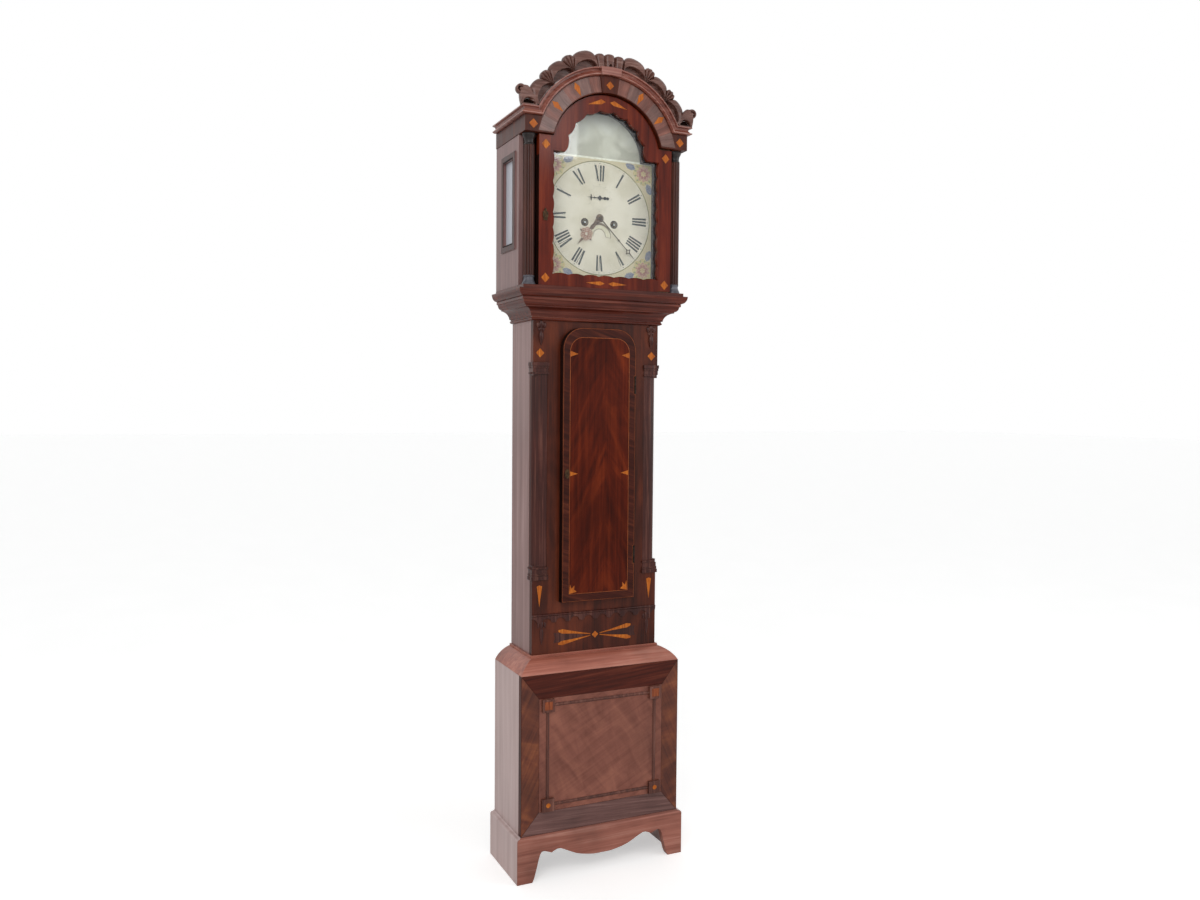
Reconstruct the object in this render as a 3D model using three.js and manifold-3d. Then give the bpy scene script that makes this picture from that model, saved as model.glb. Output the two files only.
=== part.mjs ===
// Longcase clock with a break-arch hood, an eight-day movement and a seconds pendulum.
// Lengths are millimetres, +Z is up, the dial faces -Y, and the origin is on the floor
// under the middle of the clock. Depths are measured forward from the back of the case.

import * as THREE from 'three';
import { mergeVertices } from 'three/addons/utils/BufferGeometryUtils.js';
import Module from 'manifold-3d';

const wasm = await Module();
wasm.setup();

// Fits
const seat = 0.3;
const running = 0.6;
const overrun = 6;
const weld = 0.001;

// Plinth
const plinthOut = 12.45;
const plinthForward = 8.1;
const plinthFlat = 114;
const plinthMouldHeight = 8;
const plinthBoard = 20;
const footWidth = 42.3;
const apronRise = 79;

// Base
const baseStepOut = 47.55;
const baseStepForward = 49.6;
const baseLap = 30;
const baseHeight = 460.7;
const baseSideBoard = 15;
const baseFrontBoard = 18;
const basePanelInset = 56.85;
const basePanelFootRise = 97.2;
const basePanelHeadDrop = 65;
const basePanelBlock = 34;
const basePanelBlockOut = 8;
const basePanelBead = 9;
const basePanelBeadOut = 4;

// Stepped top of the base
const caddyHeight = 34.5;
const caddyTopOut = 8.1;
const caddyTopForward = 15;
const caddyBead = 6;
const caddyBeadOut = 5;
const caddyBulgeShares = [0.3, 0.66];

// Trunk
const trunkWidth = 368.6;
const trunkDepth = 155.6;
const trunkFrontBoard = 18;
const trunkSideBoard = 12;
const trunkFrontHeight = 975;
const movementDrop = 107;
const backBoard = 10;
const pilasterFootRise = 94.7;
const pilasterHeadDrop = 109.1;
const pilasterFace = 41;
const pilasterDepth = 25;
const pilasterSetBack = 1;
const pilasterRound = 20;
const pilasterBlockOut = 3.4;
const pilasterCapHeight = 35;
const pilasterBaseHeight = 38;
const trunkBeadRise = 145;
const trunkBeadWidth = 7;
const trunkBeadOut = 4;
const pendantDrop = 15;
const pendantThickness = 2.5;

// Trunk door
const trunkStile = 76.8;
const trunkDoorFootRise = 33.3;
const trunkDoorHeadDrop = 15.5;
const trunkDoorRound = 58;
const trunkDoorLip = 19.5;
const trunkDoorThickness = 19.9;
const trunkDoorTongue = 12;
const trunkHingeInset = 1;
const trunkHingeSink = 3.8;
const trunkHingeLength = 48;
const trunkHingeUpperDrop = 149.5;
const trunkHingeLowerRise = 118.7;
const hingeKnuckle = 3.5;
const hingeLeaf = 1.5;
const hingeLeafReach = 12;
const hingeNotch = 5.5;
const trunkLockRise = 343.7;
const escutcheonHeight = 26;
const escutcheonWidth = 14;
const escutcheonThickness = 1.2;
const lockBoxDepth = 9;

// Throat moulding under the hood
const throatLap = 50.5;
const throatHeight = 57;
const throatSideReach = 46.5;
const throatFrontReach = 45.3;

// Hood base
const hoodBaseLip = 20;
const hoodBaseRail = 8.6;
const hoodBaseOut = 14.1;
const hoodBaseForward = 13.4;
const hoodBaseInnerGap = 1.8;

// Hood box
const hoodBoxOut = 1.8;
const hoodSideBoard = 12;
const hoodDoorStandOff = 18.3;
const hoodBoxHeight = 382.8;
const windowWidth = 69;
const windowFrontInset = 38.2;
const windowFootRise = 112.3;
const windowHeadDrop = 53.5;
const windowFrame = 17;
const windowFrameRelief = 3;
const sideGlass = 2;
const maskBoard = 8;
const maskReveal = 2;
const maskFootReveal = 1.5;
const maskArchReveal = 1;
const hoodRoofBoard = 8;

// Hood arch, frieze and cornice
const archCentreDrop = 38.3;
const friezeOut = 1.45;
const friezeForward = 9.7;
const friezeHeight = 40.5;
const friezeBoard = 13;
const friezeArchRadius = 159.5;
const corniceOut = 10.45;
const corniceForward = 9.5;
const corniceHeight = 20.5;
const friezeArchBand = 44;
const corniceInset = 20;
const keystoneAngle = 7.6;
const keystoneOut = 3.6;

// Carved cresting
const crestThickness = 18;
const crestSetBack = 1.7;
const crestHeight = 45.7;
const crestSwellShare = 0.7;
const crestHollowDepth = 13;
const crestHollowRise = 13;
const crestFoot = 4;
const voluteCrown = 3.5;
const voluteEyeOut = 3;
const voluteEyeRise = 37.1;
const voluteRadius = 14;
const voluteTurnShare = 0.56;
const voluteFootInset = 0.5;
const voluteFootWidth = 38;
const voluteHollowOut = 2;
const voluteHollowHalf = 12;
const voluteHollowRise = 16.6;

// Columns
const columnInset = 22.55;
const columnSetBack = 19.5;
const columnRadius = 13.5;
const columnFoot = 18;
const columnBaseHeight = 24;
const columnCapHeight = 30;
const columnCapRadius = 18.2;

// Hood door
const hoodDoorSideGap = 1.8;
const hoodDoorForward = 8.6;
const hoodDoorThickness = 20;
const hoodDoorHeadGap = 1.8;
const hoodDoorArchGap = 3;
const hoodDoorStile = 38.2;
const hoodDoorFootRail = 30.3;
const hoodDoorShoulderDrop = 0.5;
const hoodDoorArchBand = 38;
const hoodDoorBevel = 5;
const scallopBulge = 3.6;
const archScallopBulge = 5;
const hoodPivotInset = 7.7;
const hoodPivotSink = 2.9;
const hoodPivotPin = 1.8;
const hoodPivotPinLength = 7;
const hoodPivotPlate = 1.6;
const hoodPivotPlateLength = 30;
const hoodPivotPlateWidth = 10;
const glassThickness = 2.5;
const glassLap = 6;
const glassSink = 13.5;
const hoodLockDrop = 12;
const hoodLockShare = 0.45;
const hoodEscutcheonWidthShare = 0.417;
const hoodEscutcheonHeightShare = 0.4545;

// Dial
const dialLap = 11.5;
const dialFootLap = 4;
const dialGap = 1.2;
const dialSheet = 2;
const dialArchLap = 3.5;
const dialFootRadius = 3;
const dialFootAcross = 48;
const dialFootUp = 66;
const dialFootDown = 60;
const windingAcross = 43;
const windingDrop = 13.5;
const windingHole = 8;
const secondsRise = 53.5;

// Movement plates
const plateWidth = 130;
const plateHeight = 180;
const plateSheet = 2.5;
const plateGap = 62.5;
const dialStandOff = 27;
const seatBoardThickness = 18;
const seatBoardBehind = 12.5;
const seatBoardBefore = 15;
const pillarRadius = 5;
const pillarAcross = 56;
const pillarInset = 9;
const arborRadius = 1.6;
const arborHole = 2.6;
const cockReach = 35;
const cockWidth = 16;
const cockSheet = 5;

// Trains
const barrelRadius = 20;
const barrelLength = 34;
const barrelStandOff = 19.5;
const centrePinion = 5.27;
const greatWheelSheet = 3;
const greatWheelStandOff = 13.5;
const windingSquare = 3;
const windingProud = 1.5;
const thirdPinion = 4.81;
const centreWheelStandOff = 7.5;
const wheelSheet = 1.8;
const wheelHub = 4.5;
const wheelRim = 5;
const wheelSpoke = 3.5;
const thirdAcross = 20;
const thirdRiseShare = 0.5234;
const escapePinion = 4.81;
const thirdWheelSetBack = 5;
const meshGap = 0.4;
const pinionLength = 7;
const escapeWheelRadius = 18;
const escapeWheelStandOff = 27.5;
const palletRise = 26;
const palletThickness = 5;
const palletReach = 17;
const palletAngle = 50;
const palletClearance = 1.4;
const crutchDrop = 120;
const crutchForkGap = 1;

// Hands
const hourHandLength = 97;
const hourHandStandOff = 3;
const minuteHandLength = 146;
const minuteHandStandOff = 6.5;
const secondsHandLength = 34;
const secondsHandStandOff = 2.2;
const handSheet = 1;
const hourPipe = 6.2;
const minutePipe = 4;
const pipeWall = 1.2;
const hourBossShare = 1.3;
const minuteBossShare = 1.4;
const secondsHandWidthShare = 1.2;
const handWaistShare = 0.55;
const handBarbShare = 0.72;
const handTipShare = 0.86;

// Striking work
const bellRadius = 42;
const bellHeight = 30;
const bellWall = 2.4;
const bellRise = 19.4;
const bellStandOff = 31.5;
const bellAcross = -8;
const bellPost = 3;
const bellPostShare = 0.6;
const hammerShankOut = 3;
const hammerPivotDrop = 21.6;
const hammerHead = 6;
const hammerHeadHeight = 12;
const hammerGap = 3;

// Pendulum, weights and lines
const pendulumLength = 994;
const pendulumStandOff = 32.5;
const pendulumRod = 2;
const suspensionLength = 60;
const suspensionWidth = 9;
const suspensionSheet = 1;
const bobRadius = 52;
const bobThickness = 28;
const bobShoulderShare = 0.85;
const bobRimShare = 2.4;
const ratingNut = 7;
const rodTail = 28;
const weightRadius = 28;
const weightHeight = 190;
const weightHang = 490;
const pulleyRadius = 18;
const pulleyWidth = 8;
const pulleyRise = 30;
const lineRadius = 1;
const lineStandOff = 14;

// Counts
const roundSides = 24;
const smallSides = 12;
const rimSides = 40;
const archSteps = 32;
const arcSteps = 6;
const clockHour = 7;
const clockMinutes = 22.5;

// Widths and depths that follow, each from the piece that it meets
const halfTrunk = trunkWidth / 2;
const halfBase = halfTrunk + baseStepOut;
const baseDepth = trunkDepth + baseStepForward;
const halfPlinth = halfBase + plinthOut;
const plinthDepth = baseDepth + plinthForward;
const apronSpan = 2 * (halfPlinth - footWidth);
const basePanelWidth = 2 * (halfBase - basePanelInset);
const caddyTopWidth = trunkWidth + 2 * caddyTopOut;
const caddyTopDepth = trunkDepth + caddyTopForward;
const trunkDoorWidth = trunkWidth - 2 * trunkStile;
const trunkDoorFront = trunkDepth + seat + trunkDoorThickness;
const hoodBaseSideReach = throatSideReach + hoodBaseOut;
const hoodBaseFrontReach = throatFrontReach + hoodBaseForward;
const halfHood = halfTrunk + throatSideReach + hoodBoxOut;
const halfFrieze = halfHood + friezeOut;
const halfCornice = halfFrieze + corniceOut;
const hoodDoorFront = trunkDepth + throatFrontReach + hoodDoorForward;
const hoodSideFront = hoodDoorFront - hoodDoorThickness - hoodDoorStandOff;
const maskBack = hoodSideFront - maskBoard;
const friezeDepth = hoodDoorFront + friezeForward;
const corniceDepth = friezeDepth + corniceForward;
const overallDepth = corniceDepth + keystoneOut;
const crestFront = corniceDepth - crestSetBack;
const crestBack = crestFront - crestThickness;
const windowFront = hoodSideFront - windowFrontInset;
const windowBack = windowFront - windowWidth;
const columnAcross = halfFrieze - columnInset;
const columnForward = hoodDoorFront - columnSetBack;
const hoodDoorWidth = 2 * (columnAcross - columnFoot - hoodDoorSideGap);
const hoodDoorApertureHalf = hoodDoorWidth / 2 - hoodDoorStile;
const hoodDoorArchRadius = friezeArchRadius - hoodDoorArchGap;
const hoodDoorApertureArch = hoodDoorArchRadius - hoodDoorArchBand;
const corniceArchRadius = friezeArchRadius + friezeArchBand;
const maskHalfOpening = hoodDoorApertureHalf + maskReveal;
const maskArchRadius = hoodDoorApertureArch + maskArchReveal;
const hoodPivotAcross = hoodDoorWidth / 2 - hoodPivotInset;
const hoodPivotForward = hoodDoorFront - hoodPivotSink;
const glassForward = hoodDoorFront - glassSink;
const dialHalfWidth = hoodDoorApertureHalf + dialLap;
const dialArchRadius = hoodDoorApertureArch + dialArchLap;
const dialFront = maskBack - dialGap;
const frontPlateBack = dialFront - dialStandOff;
const backPlateFront = frontPlateBack - plateGap;
const seatBoardBack = backPlateFront - seatBoardBehind;
const seatBoardFront = frontPlateBack + seatBoardBefore;
const barrelBack = backPlateFront + barrelStandOff;
const greatWheelForward = backPlateFront + greatWheelStandOff;
const centreWheelForward = backPlateFront + centreWheelStandOff;
const thirdWheelForward = frontPlateBack - thirdWheelSetBack;
const escapeWheelForward = backPlateFront + escapeWheelStandOff;
const bellForward = backPlateFront + bellStandOff;
const pendulumForward = backPlateFront - pendulumStandOff;
const lineForward = barrelBack + lineStandOff;
const hourHandForward = dialFront + hourHandStandOff;
const minuteHandForward = dialFront + minuteHandStandOff;
const secondsHandForward = dialFront + secondsHandStandOff;
const voluteFootOuter = halfCornice - voluteFootInset;
const voluteFootInner = voluteFootOuter - voluteFootWidth;
const voluteEyeAcross = voluteFootOuter + voluteEyeOut;
const voluteHollowAcross = voluteFootOuter - voluteFootWidth / 2 + voluteHollowOut;

// Heights that follow, from the floor up
const baseBottom = plinthFlat - baseLap;
const baseTop = baseBottom + baseHeight;
const basePanelBottom = baseBottom + basePanelFootRise;
const basePanelTop = baseTop - basePanelHeadDrop;
const trunkBottom = baseTop + seat;
const trunkBeadHeight = trunkBottom + trunkBeadRise;
const trunkFrontTop = trunkBottom + trunkFrontHeight;
const throatBottom = trunkFrontTop - throatLap;
const throatTop = throatBottom + throatHeight;
const pilasterBottom = trunkBeadHeight + pilasterFootRise;
const pilasterTop = throatBottom - pilasterHeadDrop;
const trunkDoorBottom = trunkBeadHeight + trunkDoorFootRise;
const trunkDoorTop = throatBottom - trunkDoorHeadDrop;
const trunkHingeUpper = trunkDoorTop - trunkHingeUpperDrop;
const trunkHingeLower = trunkDoorBottom + trunkHingeLowerRise;
const trunkLockHeight = trunkDoorBottom + trunkLockRise;
const hoodBottom = throatTop + seat;
const hoodFloor = hoodBottom + hoodBaseLip + hoodBaseRail;
const doorFloor = hoodFloor + seat;
const hoodSideTop = doorFloor + hoodBoxHeight;
const friezeBottom = hoodSideTop + seat;
const friezeTop = friezeBottom + friezeHeight;
const corniceBottom = friezeTop + seat;
const corniceTop = corniceBottom + corniceHeight + seat;
const archCentre = friezeBottom - archCentreDrop;
const windowBottom = doorFloor + windowFootRise;
const windowTop = hoodSideTop - windowHeadDrop;
const hoodDoorTop = friezeBottom - hoodDoorHeadGap;
const hoodDoorApertureBottom = doorFloor + hoodDoorFootRail;
const hoodDoorShoulder = archCentre - hoodDoorShoulderDrop;
const maskOpeningBottom = hoodDoorApertureBottom - maskFootReveal;
const voluteEyeHeight = corniceTop + voluteEyeRise;
const volutePeak = voluteEyeHeight + voluteRadius + voluteCrown;
const voluteHollowTop = corniceTop + voluteHollowRise;
const dialCentre = archCentre - hoodDoorApertureHalf;
const dialBottom = hoodDoorApertureBottom - dialFootLap;
const hoodEscutcheonHeight = dialCentre - hoodLockDrop;
const cheekTop = dialCentre - movementDrop;
const seatBoardTop = cheekTop + seat + seatBoardThickness;
const plateBottom = seatBoardTop + seat;
const plateTop = plateBottom + plateHeight;
const windingHeight = dialCentre - windingDrop;
const secondsHeight = dialCentre + secondsRise;
const palletHeight = secondsHeight + palletRise;
const bellRim = plateTop + bellRise;
const weightTop = cheekTop - weightHang;
const pulleyHeight = weightTop + pulleyRise;

// Wheels that follow from the arbors' places and the pinions
const thirdRise = secondsRise * thirdRiseShare;
const greatWheelRadius = Math.hypot(windingAcross, windingDrop) - centrePinion - meshGap;
const centreWheelRadius = Math.hypot(thirdAcross, thirdRise) - thirdPinion - meshGap;
const thirdWheelRadius = Math.hypot(thirdAcross, secondsRise - thirdRise) - escapePinion - meshGap;
const fallOut = barrelRadius + seat + lineRadius;
const lineLoop = pulleyRadius + seat + lineRadius;

// Finishes
const finish = (color, roughness, metalness = 0) =>
  new THREE.MeshStandardMaterial({ color, roughness, metalness });
const mahogany = finish('#6e2c1c', 0.35);
const darkMahogany = finish('#4a1f16', 0.4);
const sideMahogany = finish('#7d4a3c', 0.45);
const flameMahogany = finish('#7a3a24', 0.35);
const pine = finish('#a9825a', 0.8);
const ebonised = finish('#1d1a1a', 0.4);
const brass = finish('#b08d4a', 0.35, 1);
const steel = finish('#8d9094', 0.35, 1);
const lead = finish('#6a6c70', 0.6, 1);
const paintedIron = finish('#e6e1d2', 0.4);
const glazing = finish('#c9d3d8', 0.05);
const gutLine = finish('#c7b48c', 0.7);

const clock = new THREE.Group();
clock.position.y = overallDepth / 2;

// Signed volume of an indexed mesh, positive when its faces point out
function signedVolume(positions, index) {
  const corners = [new THREE.Vector3(), new THREE.Vector3(), new THREE.Vector3()];
  let total = 0;
  for (let face = 0; face < index.length; face += 3) {
    corners.forEach((corner, k) => corner.fromArray(positions, index[face + k] * 3));
    total += corners[0].dot(corners[1].clone().cross(corners[2]));
  }
  return total;
}

// A closed body with shared corners, no empty triangles and its faces pointing out
function closed(geometry) {
  const plain = geometry.clone();
  plain.deleteAttribute('normal');
  plain.deleteAttribute('uv');
  const merged = mergeVertices(plain, weld);
  const positions = merged.attributes.position.array;
  const index = [];
  for (let face = 0; face < merged.index.count; face += 3) {
    const [a, b, c] = [0, 1, 2].map((k) => merged.index.array[face + k]);
    if (a !== b && b !== c && c !== a) index.push(a, b, c);
  }
  if (signedVolume(positions, index) < 0) index.reverse();
  merged.setIndex(index);
  return merged;
}

function toSolid(geometry) {
  const body = closed(geometry);
  return new wasm.Manifold(new wasm.Mesh({
    numProp: 3,
    vertProperties: Float32Array.from(body.attributes.position.array),
    triVerts: Uint32Array.from(body.index.array),
  }));
}

function toGeometry(solid) {
  const mesh = solid.getMesh();
  const geometry = new THREE.BufferGeometry();
  geometry.setAttribute('position', new THREE.BufferAttribute(mesh.vertProperties, 3));
  geometry.setIndex(Array.from(mesh.triVerts));
  return geometry;
}

const cut = (body, ...tools) =>
  toGeometry(tools.reduce((left, tool) => left.subtract(toSolid(tool)), toSolid(body)));
const join = (...bodies) =>
  toGeometry(bodies.map(toSolid).reduce((sum, body) => sum.add(body)));

function add(name, geometry, material) {
  const mesh = new THREE.Mesh(closed(geometry), material);
  mesh.geometry.computeVertexNormals();
  mesh.name = name;
  clock.add(mesh);
}

// A box given by its left, right, back, front, bottom and top
function box(left, right, back, front, bottom, top) {
  const geometry = new THREE.BoxGeometry(right - left, front - back, top - bottom);
  geometry.translate((left + right) / 2, -(back + front) / 2, (bottom + top) / 2);
  return geometry;
}

// An outline drawn from the front, as thick as the space between two depths
function plate(shape, back, front) {
  const geometry = new THREE.ExtrudeGeometry(shape, {
    depth: front - back, bevelEnabled: false, curveSegments: arcSteps,
  });
  geometry.translate(0, 0, back);
  geometry.rotateX(Math.PI / 2);
  return geometry;
}

// An outline drawn from the side, with depth across and height up
function sidePlate(shape, left, right) {
  const geometry = new THREE.ExtrudeGeometry(shape, {
    depth: right - left, bevelEnabled: false, curveSegments: arcSteps,
  });
  geometry.translate(0, 0, -right);
  const across = new THREE.Vector3(0, -1, 0);
  const up = new THREE.Vector3(0, 0, 1);
  const out = new THREE.Vector3(-1, 0, 0);
  geometry.applyMatrix4(new THREE.Matrix4().makeBasis(across, up, out));
  return geometry;
}

// An outline drawn in plan, with depth as its second coordinate, standing between two heights
function post(points, bottom, top) {
  const shape = new THREE.Shape(points.map(([x, depth]) => new THREE.Vector2(x, -depth)));
  const geometry = new THREE.ExtrudeGeometry(shape, { depth: top - bottom, bevelEnabled: false });
  geometry.translate(0, 0, bottom);
  return geometry;
}

// A piece turned on an upright axis, from pairs of radius and height
function turned(profile, x, depth, sides = roundSides) {
  const points = profile.map(([radius, height]) => new THREE.Vector2(radius, height));
  const geometry = new THREE.LatheGeometry(points, sides);
  geometry.rotateX(Math.PI / 2);
  geometry.translate(x, -depth, 0);
  return geometry;
}

// A piece turned on an axis that runs forward, from pairs of radius and depth
function turnedForward(profile, x, height, sides = roundSides) {
  const points = profile.map(([radius, depth]) => new THREE.Vector2(radius, depth));
  const geometry = new THREE.LatheGeometry(points, sides);
  geometry.rotateX(Math.PI);
  geometry.translate(x, 0, height);
  return geometry;
}

const rod = (radius, back, front, x, height, sides = smallSides) =>
  turnedForward([[0, back], [radius, back], [radius, front], [0, front]], x, height, sides);
const pin = (radius, bottom, top, x, depth, sides = smallSides) =>
  turned([[0, bottom], [radius, bottom], [radius, top], [0, top]], x, depth, sides);

// One body through a row of equal outlines, whose ends are closed with the flat outline's triangles
function loft(stations, flat) {
  const count = flat.length;
  const index = [];
  for (let station = 0; station + 1 < stations.length; station += 1) {
    for (let corner = 0; corner < count; corner += 1) {
      const next = (corner + 1) % count;
      const a = station * count + corner;
      const b = station * count + next;
      index.push(a, b, b + count, a, b + count, a + count);
    }
  }
  const winding = Math.sign(THREE.ShapeUtils.area(flat));
  const last = (stations.length - 1) * count;
  for (const face of THREE.ShapeUtils.triangulateShape(flat, [])) {
    const turn = Math.sign(THREE.ShapeUtils.area(face.map((corner) => flat[corner])));
    const [a, b, c] = turn === winding ? face : [...face].reverse();
    index.push(c, b, a, last + a, last + b, last + c);
  }
  const geometry = new THREE.BufferGeometry();
  const positions = stations.flat().flatMap((point) => point.toArray());
  geometry.setAttribute('position', new THREE.Float32BufferAttribute(positions, 3));
  geometry.setIndex(index);
  return geometry;
}

// A moulding mitred round the left, front and right. Each line is [half width, depth, height].
// A single run can be left, front or right; side runs stop one glue line short of the mitre.
function mitred(lines, run = 'all') {
  const place = (side, depthOf) =>
    lines.map(([half, depth, height]) => new THREE.Vector3(side * half, -depthOf(depth), height));
  const atBack = () => 0;
  const atFront = (depth) => depth;
  const atMitre = (depth) => depth - seat;
  const runs = {
    all: () => [place(-1, atBack), place(-1, atFront), place(1, atFront), place(1, atBack)],
    left: () => [place(-1, atBack), place(-1, atMitre)],
    front: () => [place(-1, atFront), place(1, atFront)],
    right: () => [place(1, atMitre), place(1, atBack)],
  };
  return loft(runs[run](), lines.map(([half, , height]) => new THREE.Vector2(half, height)));
}

// Points along a quarter curve from one corner to another, bulging towards the given corner
function bend(from, to, towards, steps = arcSteps) {
  const curve = new THREE.QuadraticBezierCurve(
    new THREE.Vector2(...from), new THREE.Vector2(...towards), new THREE.Vector2(...to));
  return curve.getPoints(steps).map((point) => [point.x, point.y]);
}

const polygon = (points) => new THREE.Shape(points.map((point) => new THREE.Vector2(...point)));

// Points of an arch about the hood's arch centre, from its right shoulder to its left
function archPoints(shoulder, radius) {
  const start = Math.asin((shoulder - archCentre) / radius);
  return Array.from({ length: archSteps + 1 }, (_, step) => {
    const angle = start + (Math.PI - 2 * start) * step / archSteps;
    return [radius * Math.cos(angle), archCentre + radius * Math.sin(angle)];
  });
}

// A rectangle with a round arch that rises from its shoulders
function archOutline(half, bottom, shoulder, radius) {
  const arc = archPoints(shoulder, radius);
  const ledges = half > arc[0][0] + weld ? [[half, shoulder], [-half, shoulder]] : [];
  return polygon([[-half, bottom], [half, bottom], ...ledges.slice(0, 1), ...arc,
    ...ledges.slice(1)]);
}

// A cutter under an arch, straight down from its shoulders
function archTool(bottom, shoulder, radius, back, front) {
  const arc = archPoints(shoulder, radius);
  const half = arc[0][0];
  return plate(polygon([...arc, [-half, bottom], [half, bottom]]), back, front);
}

const polar = (radius, degrees) => {
  const angle = THREE.MathUtils.degToRad(degrees);
  return [radius * Math.sin(angle), archCentre + radius * Math.cos(angle)];
};
const bothSides = (make) => [['left', -1], ['right', 1]].forEach(([side, sign]) => make(side, sign));
const span = (sign, inner, outer) => (sign < 0 ? [-outer, -inner] : [inner, outer]);

// Plinth with bracket feet and a shaped apron
function makePlinth() {
  const inner = halfPlinth - plinthBoard;
  const innerDepth = plinthDepth - plinthBoard;
  const top = plinthFlat + plinthMouldHeight;
  const slopeOut = halfPlinth - halfBase;
  const nose = slopeOut / 3;
  const lines = [
    [inner, innerDepth, 0],
    [halfPlinth, plinthDepth, 0],
    [halfPlinth, plinthDepth, plinthFlat],
    [halfPlinth - nose / 2, plinthDepth - nose / 2, plinthFlat + plinthMouldHeight / 2],
    [halfPlinth - 2 * nose, plinthDepth - nose, plinthFlat + 2 * plinthMouldHeight / 3],
    [halfBase + seat, baseDepth + seat, top],
    [inner, innerDepth, top],
  ];
  const rebate = box(-halfBase - seat, halfBase + seat, -overrun, baseDepth + seat,
    baseBottom - seat, top + overrun);
  const footShares = [[1, 0], [0.97, 0.17], [0.935, 0.5], [0.895, 0.88], [0.847, 1], [0.733, 0.9]];
  const ogeeShares = [[0.733, 0.9], [0.63, 1], [0.52, 0.89], [0.36, 0.7], [0.15, 0.585], [0, 0.575]];
  const along = (shares) => new THREE.SplineCurve(shares.map(([across, up]) =>
    new THREE.Vector2(across * apronSpan / 2, up * apronRise))).getPoints(arcSteps * 2);
  const half = [...along(footShares), ...along(ogeeShares).slice(1)];
  const mirrored = half.slice(0, -1).reverse().map((point) => new THREE.Vector2(-point.x, point.y));
  const floorCorners = [[-apronSpan / 2, -overrun], [apronSpan / 2, -overrun]]
    .map((point) => new THREE.Vector2(...point));
  const apron = new THREE.Shape([...floorCorners, ...half, ...mirrored]);
  const apronTool = plate(apron, innerDepth - overrun, plinthDepth + overrun);
  add('plinth_front', cut(mitred(lines, 'front'), rebate, apronTool), mahogany);
  bothSides((side) => add(`plinth_${side}`, cut(mitred(lines, side), rebate), sideMahogany));
}

// Base box with an applied bead rectangle and corner blocks
function makeBase() {
  add('base_front', box(-halfBase, halfBase, baseDepth - baseFrontBoard, baseDepth,
    baseBottom, baseTop), flameMahogany);
  bothSides((side, sign) => {
    const [left, right] = span(sign, halfBase - baseSideBoard, halfBase);
    const front = baseDepth - baseFrontBoard - seat;
    add(`base_${side}`, box(left, right, 0, front, baseBottom, baseTop), sideMahogany);
  });
  const back = baseDepth + seat;
  const middle = (basePanelWidth - basePanelBlock) / 2;
  const low = basePanelBottom + basePanelBlock / 2;
  const high = basePanelTop - basePanelBlock / 2;
  const nose = (centre) => bend([centre - basePanelBead / 2, back], [centre + basePanelBead / 2, back],
    [centre, back + 2 * basePanelBeadOut]);
  const pieces = [];
  for (const height of [low, high]) {
    const flipped = nose(height).map(([up, depth]) => [depth, up]);
    pieces.push(sidePlate(polygon(flipped), -middle, middle));
  }
  for (const x of [-middle, middle]) {
    pieces.push(post(nose(x), low, high));
    for (const height of [low, high]) {
      pieces.push(box(x - basePanelBlock / 2, x + basePanelBlock / 2, back,
        back + basePanelBlockOut, height - basePanelBlock / 2, height + basePanelBlock / 2));
    }
  }
  add('base_panel_moulding', join(...pieces), darkMahogany);
}

// Convex moulding that steps the base in to the trunk
function makeCaddy() {
  const bottom = baseTop + seat;
  const top = bottom + caddyHeight;
  const sideIn = halfBase - caddyTopWidth / 2;
  const frontIn = baseDepth - caddyTopDepth;
  const curve = bend([0, 0], [1, 1], caddyBulgeShares, arcSteps + 2);
  const inner = [halfTrunk + seat, trunkDepth + seat];
  const beadOut = [inner[0] + caddyBeadOut, inner[1] + caddyBeadOut];
  const lines = [
    [...inner, bottom],
    ...curve.map(([inShare, upShare]) =>
      [halfBase - inShare * sideIn, baseDepth - inShare * frontIn, bottom + upShare * caddyHeight]),
    [...beadOut, top],
    [...beadOut, top + caddyBead],
    [...inner, top + caddyBead],
  ];
  add('caddy_moulding', mitred(lines), mahogany);
}

// Back board that runs from the base to the hood's arch
function makeBackBoard() {
  const baseHalf = halfBase - baseSideBoard - seat;
  const trunkHalf = halfTrunk - trunkSideBoard - seat;
  const hoodHalf = halfHood - hoodSideBoard - overrun;
  const ears = cheekTop + seat;
  const radius = corniceArchRadius - overrun;
  const shoulder = friezeBottom;
  const arch = archOutline(hoodHalf, ears, shoulder, radius).getPoints();
  const outline = [
    [-trunkHalf, ears], [-trunkHalf, baseTop], [-baseHalf, baseTop], [-baseHalf, baseBottom],
    [baseHalf, baseBottom], [baseHalf, baseTop], [trunkHalf, baseTop], [trunkHalf, ears],
    ...arch.slice(1).map((point) => [point.x, point.y]), [-hoodHalf, ears],
  ];
  add('backboard', plate(polygon(outline), 0, backBoard), pine);
}

// Rounded door outline, also used for the opening behind it
function doorOutline(half, bottom, top, radius) {
  const corner = Math.min(radius, half);
  const shape = new THREE.Shape();
  shape.moveTo(-half, bottom);
  shape.lineTo(half, bottom);
  shape.lineTo(half, top - corner);
  shape.absarc(half - corner, top - corner, corner, 0, Math.PI / 2);
  shape.lineTo(-half + corner, top);
  shape.absarc(-half + corner, top - corner, corner, Math.PI / 2, Math.PI);
  return shape;
}

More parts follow.
